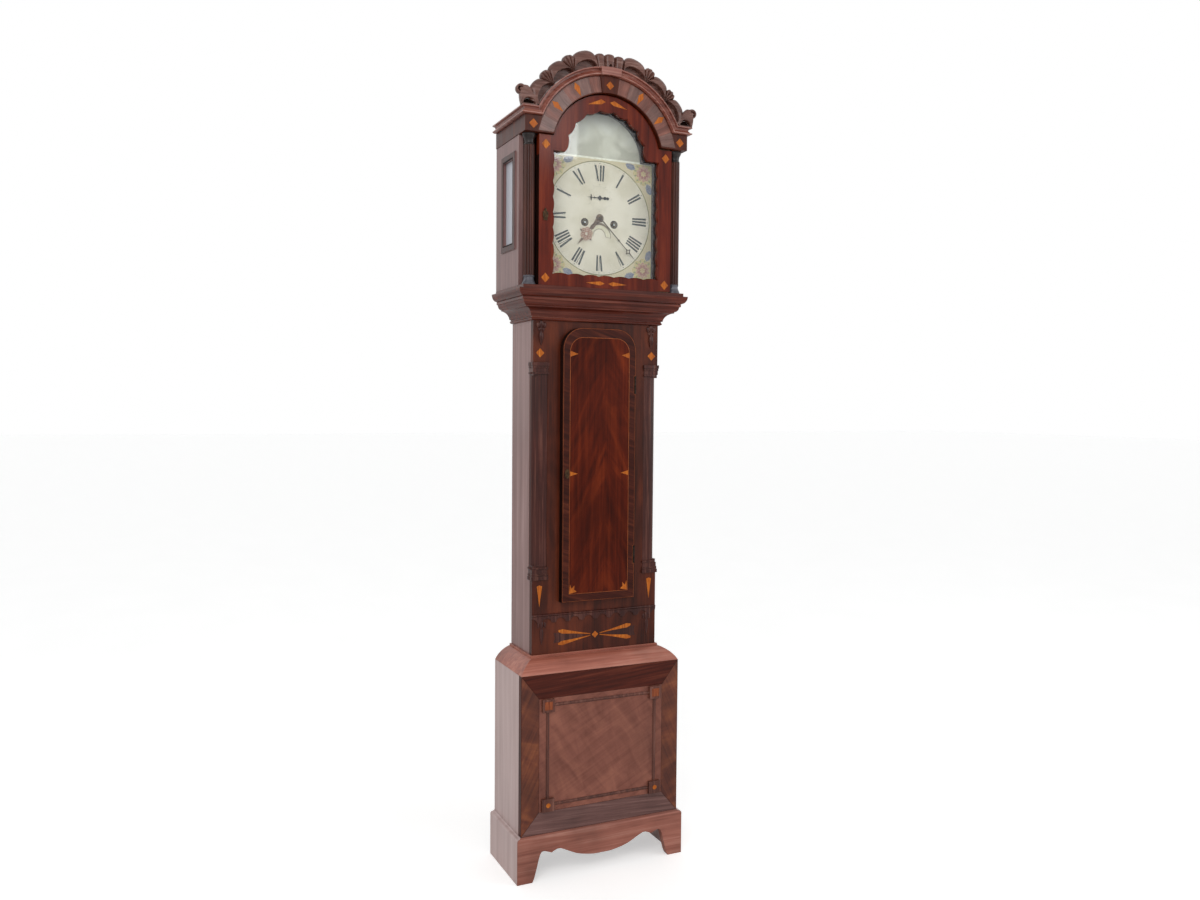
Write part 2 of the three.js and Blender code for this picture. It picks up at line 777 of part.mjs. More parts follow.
// Trunk boards, notched at the front corners for the pilasters
function makeTrunk() {
  const openingHalf = trunkDoorWidth / 2 - trunkDoorLip;
  const opening = doorOutline(openingHalf, trunkDoorBottom + trunkDoorLip,
    trunkDoorTop - trunkDoorLip, trunkDoorRound - trunkDoorLip);
  const notch = halfTrunk - pilasterFace - seat;
  const low = pilasterBottom - seat;
  const high = pilasterTop + seat;
  const right = [[halfTrunk, trunkBottom], [halfTrunk, low], [notch, low], [notch, high],
    [halfTrunk, high], [halfTrunk, trunkFrontTop]];
  const left = right.map(([x, height]) => [-x, height]).reverse();
  const front = polygon([...right, ...left]);
  front.holes.push(opening);
  add('trunk_front', plate(front, trunkDepth - trunkFrontBoard, trunkDepth), mahogany);

  const sideFront = trunkDepth - trunkFrontBoard - seat;
  const postBack = trunkDepth - pilasterSetBack - pilasterDepth - seat;
  const side = polygon([[0, trunkBottom], [sideFront, trunkBottom], [sideFront, low],
    [postBack, low], [postBack, high], [sideFront, high], [sideFront, cheekTop], [0, cheekTop]]);
  bothSides((name, sign) => {
    const [inner, outer] = span(sign, halfTrunk - trunkSideBoard, halfTrunk);
    add(`trunk_${name}`, sidePlate(side, inner, outer), sideMahogany);
  });
}

// Corner pilasters with stepped caps and bases
function makePilasters() {
  const inner = halfTrunk - pilasterFace;
  const outer = halfTrunk - pilasterSetBack;
  const face = trunkDepth - pilasterSetBack;
  const back = face - pilasterDepth;
  const round = [];
  for (let step = 0; step <= arcSteps; step += 1) {
    const angle = Math.PI / 2 * (1 - step / arcSteps);
    round.push([outer - pilasterRound + pilasterRound * Math.cos(angle),
      face - pilasterRound + pilasterRound * Math.sin(angle)]);
  }
  bothSides((side, sign) => {
    const mirror = (points) => points.map(([x, depth]) => [sign * x, depth]);
    const shaft = post(mirror([[inner, back], [inner, face], ...round, [outer, back]]),
      pilasterBottom, pilasterTop);
    const blockShares = [[1, -0.25], [0.75, 0.3], [0.55, 0.1], [0.45, 0.65], [0.25, 1]];
    const blocks = [];
    for (const [heightShare, outShare] of blockShares) {
      const out = outShare * pilasterBlockOut;
      const capFrom = pilasterTop - heightShare * pilasterCapHeight;
      const baseTo = pilasterBottom + heightShare * pilasterBaseHeight;
      for (const [from, to] of [[capFrom, pilasterTop], [pilasterBottom, baseTo]]) {
        const [left, right] = span(sign, inner, halfTrunk + out);
        blocks.push(box(left, right, back, trunkDepth + out, from, to));
        const [lapLeft, lapRight] = span(sign, inner - out / 2, halfTrunk);
        if (out > seat) blocks.push(box(lapLeft, lapRight, trunkDepth + seat, trunkDepth + out, from, to));
      }
    }
    add(`pilaster_${side}`, join(shaft, ...blocks), darkMahogany);
  });
}

// Bead across the trunk with a row of scalloped pendants beneath
function makeTrunkBead() {
  const back = trunkDepth + seat;
  const half = halfTrunk - seat;
  const low = trunkBeadHeight - trunkBeadWidth / 2;
  const high = trunkBeadHeight + trunkBeadWidth / 2;
  const nose = bend([back, low], [back, high], [back + 2 * trunkBeadOut, trunkBeadHeight]);
  const bead = sidePlate(polygon(nose), -half, half);
  const pendants = 9;
  const pitch = 2 * half / pendants;
  const shape = new THREE.Shape();
  shape.moveTo(-half, low);
  for (let place = 0; place < pendants; place += 1) {
    const start = -half + place * pitch;
    const bottom = low - pendantDrop;
    shape.lineTo(start, low - pendantDrop / 3);
    shape.quadraticCurveTo(start + pitch / 4, low - pendantDrop / 3, start + pitch / 3, bottom);
    shape.quadraticCurveTo(start + pitch / 2, bottom - pendantDrop / 3,
      start + 2 * pitch / 3, bottom);
    shape.quadraticCurveTo(start + 3 * pitch / 4, low - pendantDrop / 3,
      start + pitch, low - pendantDrop / 3);
  }
  shape.lineTo(half, low);
  shape.lineTo(half, low + seat);
  shape.lineTo(-half, low + seat);
  const strip = plate(shape, back, back + pendantThickness);
  add('trunk_bead', join(bead, strip), darkMahogany);
}

// Trunk door that laps its opening, with two hinges and a lock
function makeTrunkDoor() {
  const half = trunkDoorWidth / 2;
  const back = trunkDepth + seat;
  const clear = trunkDoorLip + 3 * running;
  const panel = plate(doorOutline(half, trunkDoorBottom, trunkDoorTop, trunkDoorRound),
    back, trunkDoorFront);
  const tongue = plate(doorOutline(half - clear, trunkDoorBottom + clear, trunkDoorTop - clear,
    trunkDoorRound - clear), back - trunkDoorTongue, back + seat);
  const pivotX = half - trunkHingeInset;
  const pivotForward = trunkDoorFront - trunkHingeSink;
  const notchLeft = half - hingeNotch;
  const notches = [];
  for (const [place, middle] of [['upper', trunkHingeUpper], ['lower', trunkHingeLower]]) {
    const low = middle - trunkHingeLength / 2;
    const high = middle + trunkHingeLength / 2;
    const leafX = notchLeft + seat;
    notches.push(box(notchLeft, half + overrun, back - seat, trunkDoorFront + overrun,
      low - seat, high + seat));
    const footLeft = half - hingeLeafReach;
    const footFront = back + hingeLeaf;
    notches.push(box(footLeft - running, half + overrun, back - seat, footFront + running,
      low - seat, middle + seat));
    const riserLeft = pivotX + hingeKnuckle - hingeLeaf;
    const caseLeaf = join(
      pin(hingeKnuckle, low, middle - seat / 2, pivotX, pivotForward),
      box(riserLeft, riserLeft + hingeLeaf, back, pivotForward, low, middle - seat / 2),
      box(footLeft, riserLeft + hingeLeaf, back, footFront, low, middle - seat / 2));
    add(`trunk_hinge_${place}`, caseLeaf, brass);
    const doorLeaf = join(
      pin(hingeKnuckle, middle + seat / 2, high, pivotX, pivotForward),
      box(leafX, leafX + hingeLeaf, back + running, pivotForward, middle + seat / 2, high),
      box(leafX, pivotX, pivotForward - hingeLeaf / 2, pivotForward + hingeLeaf / 2,
        middle + seat / 2, high));
    add(`trunk_door_leaf_${place}`, doorLeaf, brass);
  }
  const lockX = -half + trunkDoorLip / 2 + escutcheonWidth / 4;
  const lockDepth = lockBoxDepth + seat;
  const lockHalf = escutcheonWidth / 2;
  const lockBack = back - seat;
  const mortise = box(lockX - lockHalf - seat, lockX + lockHalf + seat, lockBack - overrun,
    lockBack + lockDepth, trunkLockHeight - escutcheonHeight - seat,
    trunkLockHeight + escutcheonHeight + seat);
  add('trunk_door', cut(join(panel, tongue), ...notches, mortise,
    rod(running + arborHole, back, trunkDoorFront + overrun, lockX, trunkLockHeight)), flameMahogany);
  const plateShape = new THREE.Shape();
  plateShape.absellipse(lockX, trunkLockHeight, lockHalf, escutcheonHeight / 2, 0, 2 * Math.PI);
  const escutcheon = plate(plateShape, trunkDoorFront + seat,
    trunkDoorFront + seat + escutcheonThickness);
  const barrel = rod(arborHole, back + running, trunkDoorFront + 2 * seat, lockX, trunkLockHeight);
  const lockBox = box(lockX - lockHalf, lockX + lockHalf, back + running, back + lockBoxDepth,
    trunkLockHeight - escutcheonHeight, trunkLockHeight + escutcheonHeight);
  add('trunk_door_lock', join(escutcheon, barrel, lockBox), brass);
}

// Coved throat moulding that carries the hood
function makeThroat() {
  const height = throatTop - throatBottom;
  const at = (outShare, upShare) => [halfTrunk + seat + outShare * throatSideReach,
    trunkDepth + seat + outShare * throatFrontReach, throatBottom + upShare * height];
  const bead = bend([0.05, 0], [0.13, 0.13], [0.26, 0.05], 4);
  const cove = bend([0.2, 0.19], [0.66, 0.58], [0.26, 0.5], arcSteps);
  const cyma = bend([0.71, 0.63], [0.93, 0.86], [0.9, 0.66], 4);
  const shares = [[0, 0], ...bead, [0.13, 0.19], ...cove, [0.71, 0.58], ...cyma, [1, 0.88], [1, 1], [0, 1]];
  add('throat_moulding', mitred(shares.map(([out, up]) => at(out, up))), mahogany);
}

// Seat board that carries the movement across the trunk's cheeks
function makeSeatBoard() {
  const bottom = cheekTop + seat;
  const board = box(-halfTrunk, halfTrunk, seatBoardBack, seatBoardFront, bottom, seatBoardTop);
  const hole = 4 * lineRadius;
  const holes = [-windingAcross, windingAcross].map((x) =>
    pin(hole, bottom - overrun, seatBoardTop + overrun, x - fallOut, lineForward));
  add('seat_board', cut(board, ...holes), pine);
}

// Hood base: a mitred ovolo frame that slides on the throat moulding
function makeHoodBase() {
  const bottom = hoodBottom;
  const lip = bottom + hoodBaseLip;
  const inner = [halfTrunk + hoodBaseInnerGap, trunkDepth + hoodBaseInnerGap];
  const foot = [halfTrunk + throatSideReach, trunkDepth + throatFrontReach];
  const nose = [halfTrunk + hoodBaseSideReach, trunkDepth + hoodBaseFrontReach];
  const rail = [halfHood + running, hoodDoorFront + running];
  const curve = bend([0, 0], [1, 0.85], [0.85, 0.1]);
  const lines = [
    [...inner, bottom],
    ...curve.map(([out, up]) => [foot[0] + out * (nose[0] - foot[0]),
      foot[1] + out * (nose[1] - foot[1]), bottom + up * hoodBaseLip]),
    [...nose, lip],
    [...rail, lip],
    [...rail, hoodFloor],
    [...inner, hoodFloor],
  ];
  const socket = pin(hoodPivotPin + running, hoodFloor - hoodPivotPinLength - running,
    hoodFloor + overrun, hoodPivotAcross, hoodPivotForward);
  add('hood_base', cut(mitred(lines), socket), mahogany);
}

// Hood sides, each with a framed window and its glass
function makeHoodSides() {
  const board = polygon([[0, doorFloor], [hoodSideFront, doorFloor],
    [hoodSideFront, hoodSideTop], [0, hoodSideTop]]);
  const frame = polygon([
    [windowBack - windowFrame, windowBottom - windowFrame],
    [windowFront + windowFrame, windowBottom - windowFrame],
    [windowFront + windowFrame, windowTop + windowFrame],
    [windowBack - windowFrame, windowTop + windowFrame]]);
  const openingAt = (gap) => polygon([[windowBack + gap, windowBottom + gap],
    [windowFront - gap, windowBottom + gap], [windowFront - gap, windowTop - gap],
    [windowBack + gap, windowTop - gap]]);
  bothSides((side, sign) => {
    const [left, right] = span(sign, halfHood - hoodSideBoard, halfHood);
    const [frameLeft, frameRight] = span(sign, halfHood - seat, halfHood + windowFrameRelief);
    const opening = sidePlate(openingAt(0), left - overrun, right + overrun);
    add(`hood_${side}_side`, cut(join(sidePlate(board, left, right),
      sidePlate(frame, frameLeft, frameRight)), opening), sideMahogany);
    const middle = sign * (halfHood - hoodSideBoard / 2);
    add(`hood_${side}_glass`, sidePlate(openingAt(seat), middle - sideGlass / 2,
      middle + sideGlass / 2), glazing);
  });
}

// Arched mask behind the hood door, which frames the dial
function makeMask() {
  const half = halfHood - hoodSideBoard - seat;
  const outline = archOutline(half, doorFloor, friezeTop, corniceArchRadius - seat);
  outline.holes.push(archOutline(maskHalfOpening, maskOpeningBottom, hoodDoorShoulder + overrun / 2,
    maskArchRadius));
  add('hood_mask', plate(outline, maskBack, maskBack + maskBoard), darkMahogany);
}

// Wedge of the keystone between two radii and two depths
function keystone(inner, outer, back, front) {
  const points = [polar(inner, -keystoneAngle), polar(inner, 0), polar(inner, keystoneAngle),
    polar(outer, keystoneAngle), polar(outer, 0), polar(outer, -keystoneAngle)];
  return plate(polygon(points), back, front);
}

// Arched frieze with end blocks over the columns, and its returns to the back
function makeFrieze() {
  const outer = corniceArchRadius - seat;
  const outline = archOutline(halfFrieze, friezeBottom, friezeTop, outer);
  const tool = archTool(friezeBottom - overrun, friezeBottom, friezeArchRadius, 0,
    friezeDepth + overrun);
  const maskFront = maskBack + maskBoard + seat;
  const front = cut(plate(outline, maskFront, friezeDepth), tool);
  const returns = [-1, 1].map((sign) => {
    const [left, right] = span(sign, halfFrieze - friezeBoard, halfFrieze);
    return box(left, right, 0, maskFront + overrun, friezeBottom, friezeTop);
  });
  const key = keystone(friezeArchRadius, outer - seat, friezeDepth - overrun,
    friezeDepth + keystoneOut);
  const socket = pin(hoodPivotPin + running, friezeBottom - overrun,
    friezeBottom + hoodPivotPinLength + running, hoodPivotAcross, hoodPivotForward);
  add('hood_frieze', cut(join(front, ...returns, key), socket), mahogany);
}

// Cornice that returns along the sides and rises over the arch
function makeCornice() {
  const outReach = halfCornice - halfFrieze;
  const frontReach = corniceDepth - friezeDepth;
  const shares = [[0, 0], [0.82, 0], [1, 0.1], [1, 0.22], [0.85, 0.34], [0.72, 0.6],
    [0.78, 0.8], [1, 0.86], [1, 1], [0, 1]];
  const flat = shares.map(([out, up]) => new THREE.Vector2(out, up));
  const profile = shares.map(([out, up]) => ({
    half: halfFrieze - corniceInset + out * (corniceInset + outReach),
    depth: friezeDepth - corniceInset + out * (corniceInset + frontReach),
    rise: up * corniceHeight,
  }));
  const straight = (sign, depthOf) => profile.map((line) =>
    new THREE.Vector3(sign * line.half, -depthOf(line), corniceBottom + line.rise));
  const arched = (share) => profile.map((line) => {
    const radius = corniceArchRadius + line.rise;
    const foot = Math.acos((corniceBottom + line.rise - archCentre) / radius);
    const angle = -foot + 2 * foot * share;
    return new THREE.Vector3(radius * Math.sin(angle), -line.depth,
      archCentre + radius * Math.cos(angle));
  });
  const stations = [straight(-1, () => 0), straight(-1, (line) => line.depth)];
  for (let step = 0; step <= archSteps; step += 1) stations.push(arched(step / archSteps));
  stations.push(straight(1, (line) => line.depth), straight(1, () => 0));
  const key = keystone(corniceArchRadius + seat, corniceArchRadius + corniceHeight,
    corniceDepth - overrun, corniceDepth + keystoneOut);
  add('hood_cornice', join(loft(stations, flat), key), mahogany);
}

// Barrel roof boards behind the cornice
function makeRoof() {
  const inner = corniceArchRadius;
  const outer = inner + hoodRoofBoard;
  const half = halfFrieze - corniceInset - seat;
  const bottom = friezeTop + seat;
  const outline = archOutline(half, bottom, bottom + hoodRoofBoard, outer);
  const tool = archTool(bottom - overrun, bottom, inner, -overrun, friezeDepth);
  const front = friezeDepth - corniceInset - seat;
  add('hood_roof', cut(plate(outline, 0, front), tool), pine);
}

// Carved cresting of hollow lobes, small fans and end volutes along the cornice arch
function makeCresting() {
  const foot = corniceArchRadius + corniceHeight + seat;
  const valleyShares = [[57.8, 0.76], [48.2, 0.65], [41.6, 0.66], [30.7, 0.705], [23.7, 0.695],
    [9.6, 0.6], [3.4, 0.63]];
  const peakShares = [[54, 0.9], [44.5, 0.925], [36, 0.935], [27, 0.98], [16.5, 1],
    [6.5, 0.78], [0, 0.79]];
  const hollowShares = [[53.3, 6.6], [34.7, 6], [17.5, 6.7]];
  const climb = (valley, peak, steps, backwards) => {
    const points = [];
    for (let step = 0; step < steps; step += 1) {
      const turn = Math.PI / 2 * (backwards ? steps - step : step) / steps;
      const swell = Math.sin(turn) ** crestSwellShare;
      const share = valley[1] + (peak[1] - valley[1]) * swell;
      const angle = valley[0] + (peak[0] - valley[0]) * (1 - Math.cos(turn));
      points.push(polar(foot + crestHeight * share, angle));
    }
    return points;
  };
  const crown = [];
  valleyShares.forEach((valley, place) => {
    crown.push(...climb(valley, peakShares[place], 4, false));
    const next = valleyShares[place + 1];
    if (next) crown.push(...climb(next, peakShares[place], 4, true));
  });
  const summit = polar(foot + crestHeight * peakShares[peakShares.length - 1][1], 0);
  const shoulder = [
    [voluteFootInner + voluteRadius, voluteEyeHeight + voluteRadius / 4],
    [voluteEyeAcross - voluteRadius, volutePeak - voluteRadius / 5],
    [voluteEyeAcross - voluteRadius / 3, volutePeak],
  ];
  const scroll = [];
  for (let step = 0; step <= 2 * arcSteps; step += 1) {
    const angle = Math.PI / 2 - voluteTurnShare * 2 * Math.PI * step / (2 * arcSteps);
    scroll.push([voluteEyeAcross + voluteRadius * Math.cos(angle),
      voluteEyeHeight + voluteRadius * Math.sin(angle)]);
  }
  const footArch = THREE.MathUtils.radToDeg(Math.acos((corniceTop - archCentre) / foot));
  const inside = [];
  for (let step = 0; step <= archSteps; step += 1) {
    inside.push(polar(foot, footArch - 2 * footArch * step / archSteps));
  }
  const right = [...crown].reverse().concat(shoulder, scroll, [[voluteFootOuter, corniceTop]]);
  const left = right.map(([x, height]) => [-x, height]).reverse();
  const outline = polygon([...left, summit, ...right, ...inside]);
  const hollowFront = crestFront + overrun;
  const hollowBack = crestFront - crestHollowDepth;
  const hollowFoot = foot + crestFoot;
  const tools = [];
  for (const sign of [-1, 1]) {
    for (const [middle, half] of hollowShares) {
      const points = [];
      for (let step = 0; step <= 2 * arcSteps; step += 1) {
        const turn = Math.PI * step / (2 * arcSteps);
        points.push(polar(hollowFoot + crestHollowRise * Math.sin(turn),
          sign * (middle + half * Math.cos(turn))));
      }
      tools.push(plate(polygon(points), hollowBack, hollowFront));
    }
    const [low, high] = [corniceTop + crestFoot, voluteHollowTop];
    const inner = sign * (voluteHollowAcross - voluteHollowHalf);
    const outer = sign * (voluteHollowAcross + voluteHollowHalf);
    const niche = bend([inner, low], [outer, low], [sign * voluteHollowAcross, 2 * high - low]);
    tools.push(plate(polygon(niche), hollowBack, hollowFront));
  }
  add('cresting', cut(plate(outline, crestBack, crestFront), ...tools), darkMahogany);
}

// Free-standing columns with dark bases and bell capitals
function makeColumns() {
  const bottom = doorFloor;
  const top = friezeBottom - seat;
  const baseTopHeight = bottom + columnBaseHeight;
  const capBottom = top - columnCapHeight;
  const neck = columnRadius - running;
  const profile = [
    [0, bottom], [columnFoot, bottom], [columnFoot, bottom + columnBaseHeight / 3],
    [columnFoot - 2 * running, bottom + columnBaseHeight / 2],
    [columnRadius + running, baseTopHeight - columnBaseHeight / 4], [columnRadius, baseTopHeight],
    [neck, capBottom], [columnRadius + 2 * running, capBottom + columnCapHeight / 8],
    [neck, capBottom + columnCapHeight / 4], [columnRadius, capBottom + columnCapHeight / 2],
    [columnCapRadius - running, top - columnCapHeight / 5], [columnCapRadius, top - columnCapHeight / 8],
    [columnCapRadius, top], [0, top],
  ];
  bothSides((side, sign) =>
    add(`column_${side}`, turned(profile, sign * columnAcross, columnForward), ebonised));
}

// Points of the hood door's opening, with a row of scallops along every edge but the shoulders
function scallopedOpening() {
  const cusps = [];
  const sideScallops = 8;
  const bottomScallops = 7;
  const archScallops = 9;
  const half = hoodDoorApertureHalf;
  const archHalf = Math.asin(Math.min(1, Math.sqrt(1
    - ((hoodDoorShoulder - archCentre) / hoodDoorApertureArch) ** 2)));
  for (let place = 0; place < bottomScallops; place += 1) {
    cusps.push([-half + 2 * half * place / bottomScallops, hoodDoorApertureBottom, scallopBulge]);
  }
  const rise = hoodDoorShoulder - hoodDoorApertureBottom;
  for (let place = 0; place < sideScallops; place += 1) {
    cusps.push([half, hoodDoorApertureBottom + rise * place / sideScallops, scallopBulge]);
  }
  cusps.push([half, hoodDoorShoulder, 0]);
  for (let place = 0; place < archScallops; place += 1) {
    const angle = archHalf - 2 * archHalf * place / archScallops;
    cusps.push([hoodDoorApertureArch * Math.sin(angle),
      archCentre + hoodDoorApertureArch * Math.cos(angle), archScallopBulge]);
  }
  cusps.push([-hoodDoorApertureArch, hoodDoorShoulder, 0]);
  for (let place = 0; place < sideScallops; place += 1) {
    cusps.push([-half, hoodDoorShoulder - rise * place / sideScallops, scallopBulge]);
  }
  const path = new THREE.Path();
  path.moveTo(cusps[0][0], cusps[0][1]);
  cusps.forEach(([x, height, bulge], place) => {
    const [nextX, nextHeight] = cusps[(place + 1) % cusps.length];
    const along = new THREE.Vector2(nextX - x, nextHeight - height);
    const inward = new THREE.Vector2(-along.y, along.x).normalize().multiplyScalar(2 * bulge);
    path.quadraticCurveTo((x + nextX) / 2 + inward.x, (height + nextHeight) / 2 + inward.y,
      nextX, nextHeight);
  });
  return path;
}

// Glazed hood door with a scalloped opening, on top and bottom pivots
function makeHoodDoor() {
  const half = hoodDoorWidth / 2;
  const back = hoodDoorFront - hoodDoorThickness;
  const outline = archOutline(half, doorFloor, hoodDoorTop, hoodDoorArchRadius);
  outline.holes.push(scallopedOpening());
  const glassOutline = (gap) => archOutline(hoodDoorApertureHalf + glassLap - gap,
    hoodDoorApertureBottom - glassLap + gap, hoodDoorShoulder + glassLap - gap,
    hoodDoorApertureArch + glassLap - gap);
  const glassFront = glassForward + glassThickness;
  const rebate = plate(glassOutline(0), back - overrun, glassFront + seat);
  const bevel = post([[half - hoodDoorBevel, back], [half, back + hoodDoorBevel],
    [half + overrun, back + hoodDoorBevel], [half + overrun, back - overrun],
    [half - hoodDoorBevel, back - overrun]], doorFloor - overrun, hoodDoorTop + overrun);
  const plateLeft = hoodPivotAcross - hoodPivotPlateLength;
  const plateRight = half - hoodDoorBevel;
  const plateBack = hoodDoorFront - hoodPivotPlateWidth;
  const recessOf = (bottom, top) => box(plateLeft - seat, half + overrun, plateBack - seat,
    hoodDoorFront + overrun, bottom, top);
  const recess = hoodPivotPlate + seat;
  const lowRecess = recessOf(doorFloor - overrun, doorFloor + recess);
  const highRecess = recessOf(hoodDoorTop - recess, hoodDoorTop + overrun);
  const lockX = -half + (half - hoodDoorApertureHalf) * hoodLockShare;
  const keyhole = rod(arborHole + running, back - overrun, hoodDoorFront + overrun,
    lockX, hoodEscutcheonHeight);
  add('hood_door', cut(plate(outline, back, hoodDoorFront), rebate, bevel, lowRecess, highRecess,
    keyhole), mahogany);
  add('hood_door_glass', plate(glassOutline(seat), glassForward, glassFront), glazing);
  const plateOf = (bottom, top) => box(plateLeft, plateRight, plateBack,
    hoodDoorFront - seat, bottom, top);
  add('hood_pivot_lower', join(plateOf(doorFloor, doorFloor + hoodPivotPlate),
    pin(hoodPivotPin, hoodFloor - hoodPivotPinLength, doorFloor + seat,
      hoodPivotAcross, hoodPivotForward)), brass);
  add('hood_pivot_upper', join(plateOf(hoodDoorTop - hoodPivotPlate, hoodDoorTop),
    pin(hoodPivotPin, hoodDoorTop - seat, friezeBottom + hoodPivotPinLength,
      hoodPivotAcross, hoodPivotForward)), brass);
  const faceShape = new THREE.Shape();
  faceShape.absellipse(lockX, hoodEscutcheonHeight, escutcheonWidth * hoodEscutcheonWidthShare,
    escutcheonHeight * hoodEscutcheonHeightShare, 0, 2 * Math.PI);
  add('hood_door_lock', join(
    plate(faceShape, hoodDoorFront + seat, hoodDoorFront + seat + escutcheonThickness),
    rod(arborHole, back + seat, hoodDoorFront + 2 * seat, lockX, hoodEscutcheonHeight)), brass);
}

// Painted break-arch dial on four feet
function makeDial() {
  const back = dialFront - dialSheet;
  const outline = archOutline(dialHalfWidth, dialBottom, archCentre + 2 * dialFootRadius,
    dialArchRadius);
  const feet = [];
  for (const x of [-dialFootAcross, dialFootAcross]) {
    for (const height of [dialCentre - dialFootDown, dialCentre + dialFootUp]) {
      feet.push(rod(dialFootRadius, frontPlateBack + plateSheet + seat, back + seat, x, height));
    }
  }
  const holes = [-windingAcross, windingAcross].map((x) =>
    rod(windingHole, back - overrun, dialFront + overrun, x, windingHeight, roundSides));
  holes.push(rod(hourPipe + running, back - overrun, dialFront + overrun, 0, dialCentre));
  holes.push(rod(arborHole, back - overrun, dialFront + overrun, 0, secondsHeight));
  add('dial', cut(join(plate(outline, back, dialFront), ...feet), ...holes), paintedIron);
}

// Brass plates: the back plate carries the pillars and the pendulum's cock
function makePlates() {
  const half = plateWidth / 2;
  const top = plateTop;
  const back = backPlateFront - plateSheet;
  const pillars = [];
  for (const x of [-pillarAcross, pillarAcross]) {
    for (const height of [plateBottom + pillarInset, top - pillarInset]) {
      pillars.push(rod(pillarRadius, back, frontPlateBack - seat, x, height));
    }
  }
  const cockBack = backPlateFront - cockReach - plateSheet;
  const cockLow = palletHeight + cockSheet;
  const cock = join(
    box(-cockWidth / 2, cockWidth / 2, cockBack, backPlateFront, cockLow, cockLow + cockSheet),
    box(-cockWidth / 2, cockWidth / 2, back - cockSheet, back + seat,
      palletHeight - palletRise, cockLow));
  const slot = box(-suspensionSheet / 2 - running, suspensionSheet / 2 + running, cockBack - overrun,
    pendulumForward + suspensionWidth / 2 + running, cockLow - overrun, cockLow + cockSheet + overrun);
  const anchorSlot = rod(arborHole, back - cockSheet - overrun, backPlateFront + overrun, 0, palletHeight);
  add('back_plate', cut(join(box(-half, half, back, backPlateFront, plateBottom, top),
    ...pillars, cock), slot, anchorSlot), brass);
  const front = frontPlateBack + plateSheet;
  const through = (radius, x, height) =>
    rod(radius, frontPlateBack - overrun, front + overrun, x, height);
  add('front_plate', cut(box(-half, half, frontPlateBack, front, plateBottom, top),
    through(windingSquare + 2 * running, -windingAcross, windingHeight),
    through(windingSquare + 2 * running, windingAcross, windingHeight),
    through(arborHole + running, 0, dialCentre),
    through(arborHole, 0, secondsHeight)), brass);
}

// A crossed-out wheel on its arbor
function wheel(radius, sheet, back, x, height, arbor, crossings = 4) {
  const arcPoints = (reach, from, to, steps) => Array.from({ length: steps + 1 }, (_, step) => {
    const angle = from + (to - from) * step / steps;
    return [x + reach * Math.cos(angle), height + reach * Math.sin(angle)];
  });
  const shape = polygon(arcPoints(radius, 0, 2 * Math.PI, rimSides).slice(1));
  const outer = radius - wheelRim;
  const inner = wheelHub + wheelSpoke / 2;
  const trimOuter = Math.asin(wheelSpoke / 2 / outer);
  const trimInner = Math.asin(wheelSpoke / 2 / inner);
  const arc = 2 * Math.PI / crossings;
  for (let crossing = 0; crossing < crossings; crossing += 1) {
    const from = crossing * arc;
    shape.holes.push(polygon([
      ...arcPoints(outer, from + trimOuter, from + arc - trimOuter, arcSteps),
      ...arcPoints(inner, from + arc - trimInner, from + trimInner, 2)]));
  }
  return join(plate(shape, back, back + sheet), ...arbor);
}

// Going and striking trains
function makeTrains() {
  const inFront = frontPlateBack - seat;
  const behind = backPlateFront + seat;
  for (const [name, sign] of [['going', 1], ['strike', -1]]) {
    const across = sign * windingAcross;
    const flange = barrelRadius + 2 * lineRadius;
    const drum = turnedForward([
      [0, barrelBack], [flange, barrelBack], [flange, barrelBack + lineRadius],
      [barrelRadius, barrelBack + lineRadius],
      [barrelRadius, barrelBack + barrelLength - lineRadius],
      [flange, barrelBack + barrelLength - lineRadius], [flange, barrelBack + barrelLength],
      [0, barrelBack + barrelLength]], across, windingHeight);
    const arbor = [drum, rod(windingSquare, behind, inFront + plateSheet, across, windingHeight),
      box(across - windingSquare / 2, across + windingSquare / 2, inFront, dialFront + windingProud,
        windingHeight - windingSquare / 2, windingHeight + windingSquare / 2)];
    arbor.push(rod(wheelHub, greatWheelForward, barrelBack + seat, across, windingHeight));
    add(`${name}_barrel`, wheel(greatWheelRadius, greatWheelSheet, greatWheelForward,
      across, windingHeight, arbor), brass);
  }
  add('centre_wheel', wheel(centreWheelRadius, wheelSheet, centreWheelForward, 0, dialCentre, [
    rod(arborRadius, behind, minuteHandForward, 0, dialCentre),
    rod(centrePinion, greatWheelForward - seat, greatWheelForward + greatWheelSheet + seat,
      0, dialCentre)]), brass);
  const thirdHeight = dialCentre + thirdRise;
  add('third_wheel', wheel(thirdWheelRadius, wheelSheet, thirdWheelForward, thirdAcross, thirdHeight, [
    rod(arborRadius, behind, inFront, thirdAcross, thirdHeight),
    rod(thirdPinion, centreWheelForward - pinionLength / 3,
      centreWheelForward + 2 * pinionLength / 3, thirdAcross, thirdHeight)]), brass);
  add('escape_wheel', wheel(escapeWheelRadius, wheelSheet, escapeWheelForward, 0, secondsHeight, [
    rod(arborRadius, behind, dialFront - dialSheet - seat, 0, secondsHeight),
    rod(escapePinion, thirdWheelForward - pinionLength / 2, inFront - seat, 0, secondsHeight)],
  ), brass);
}

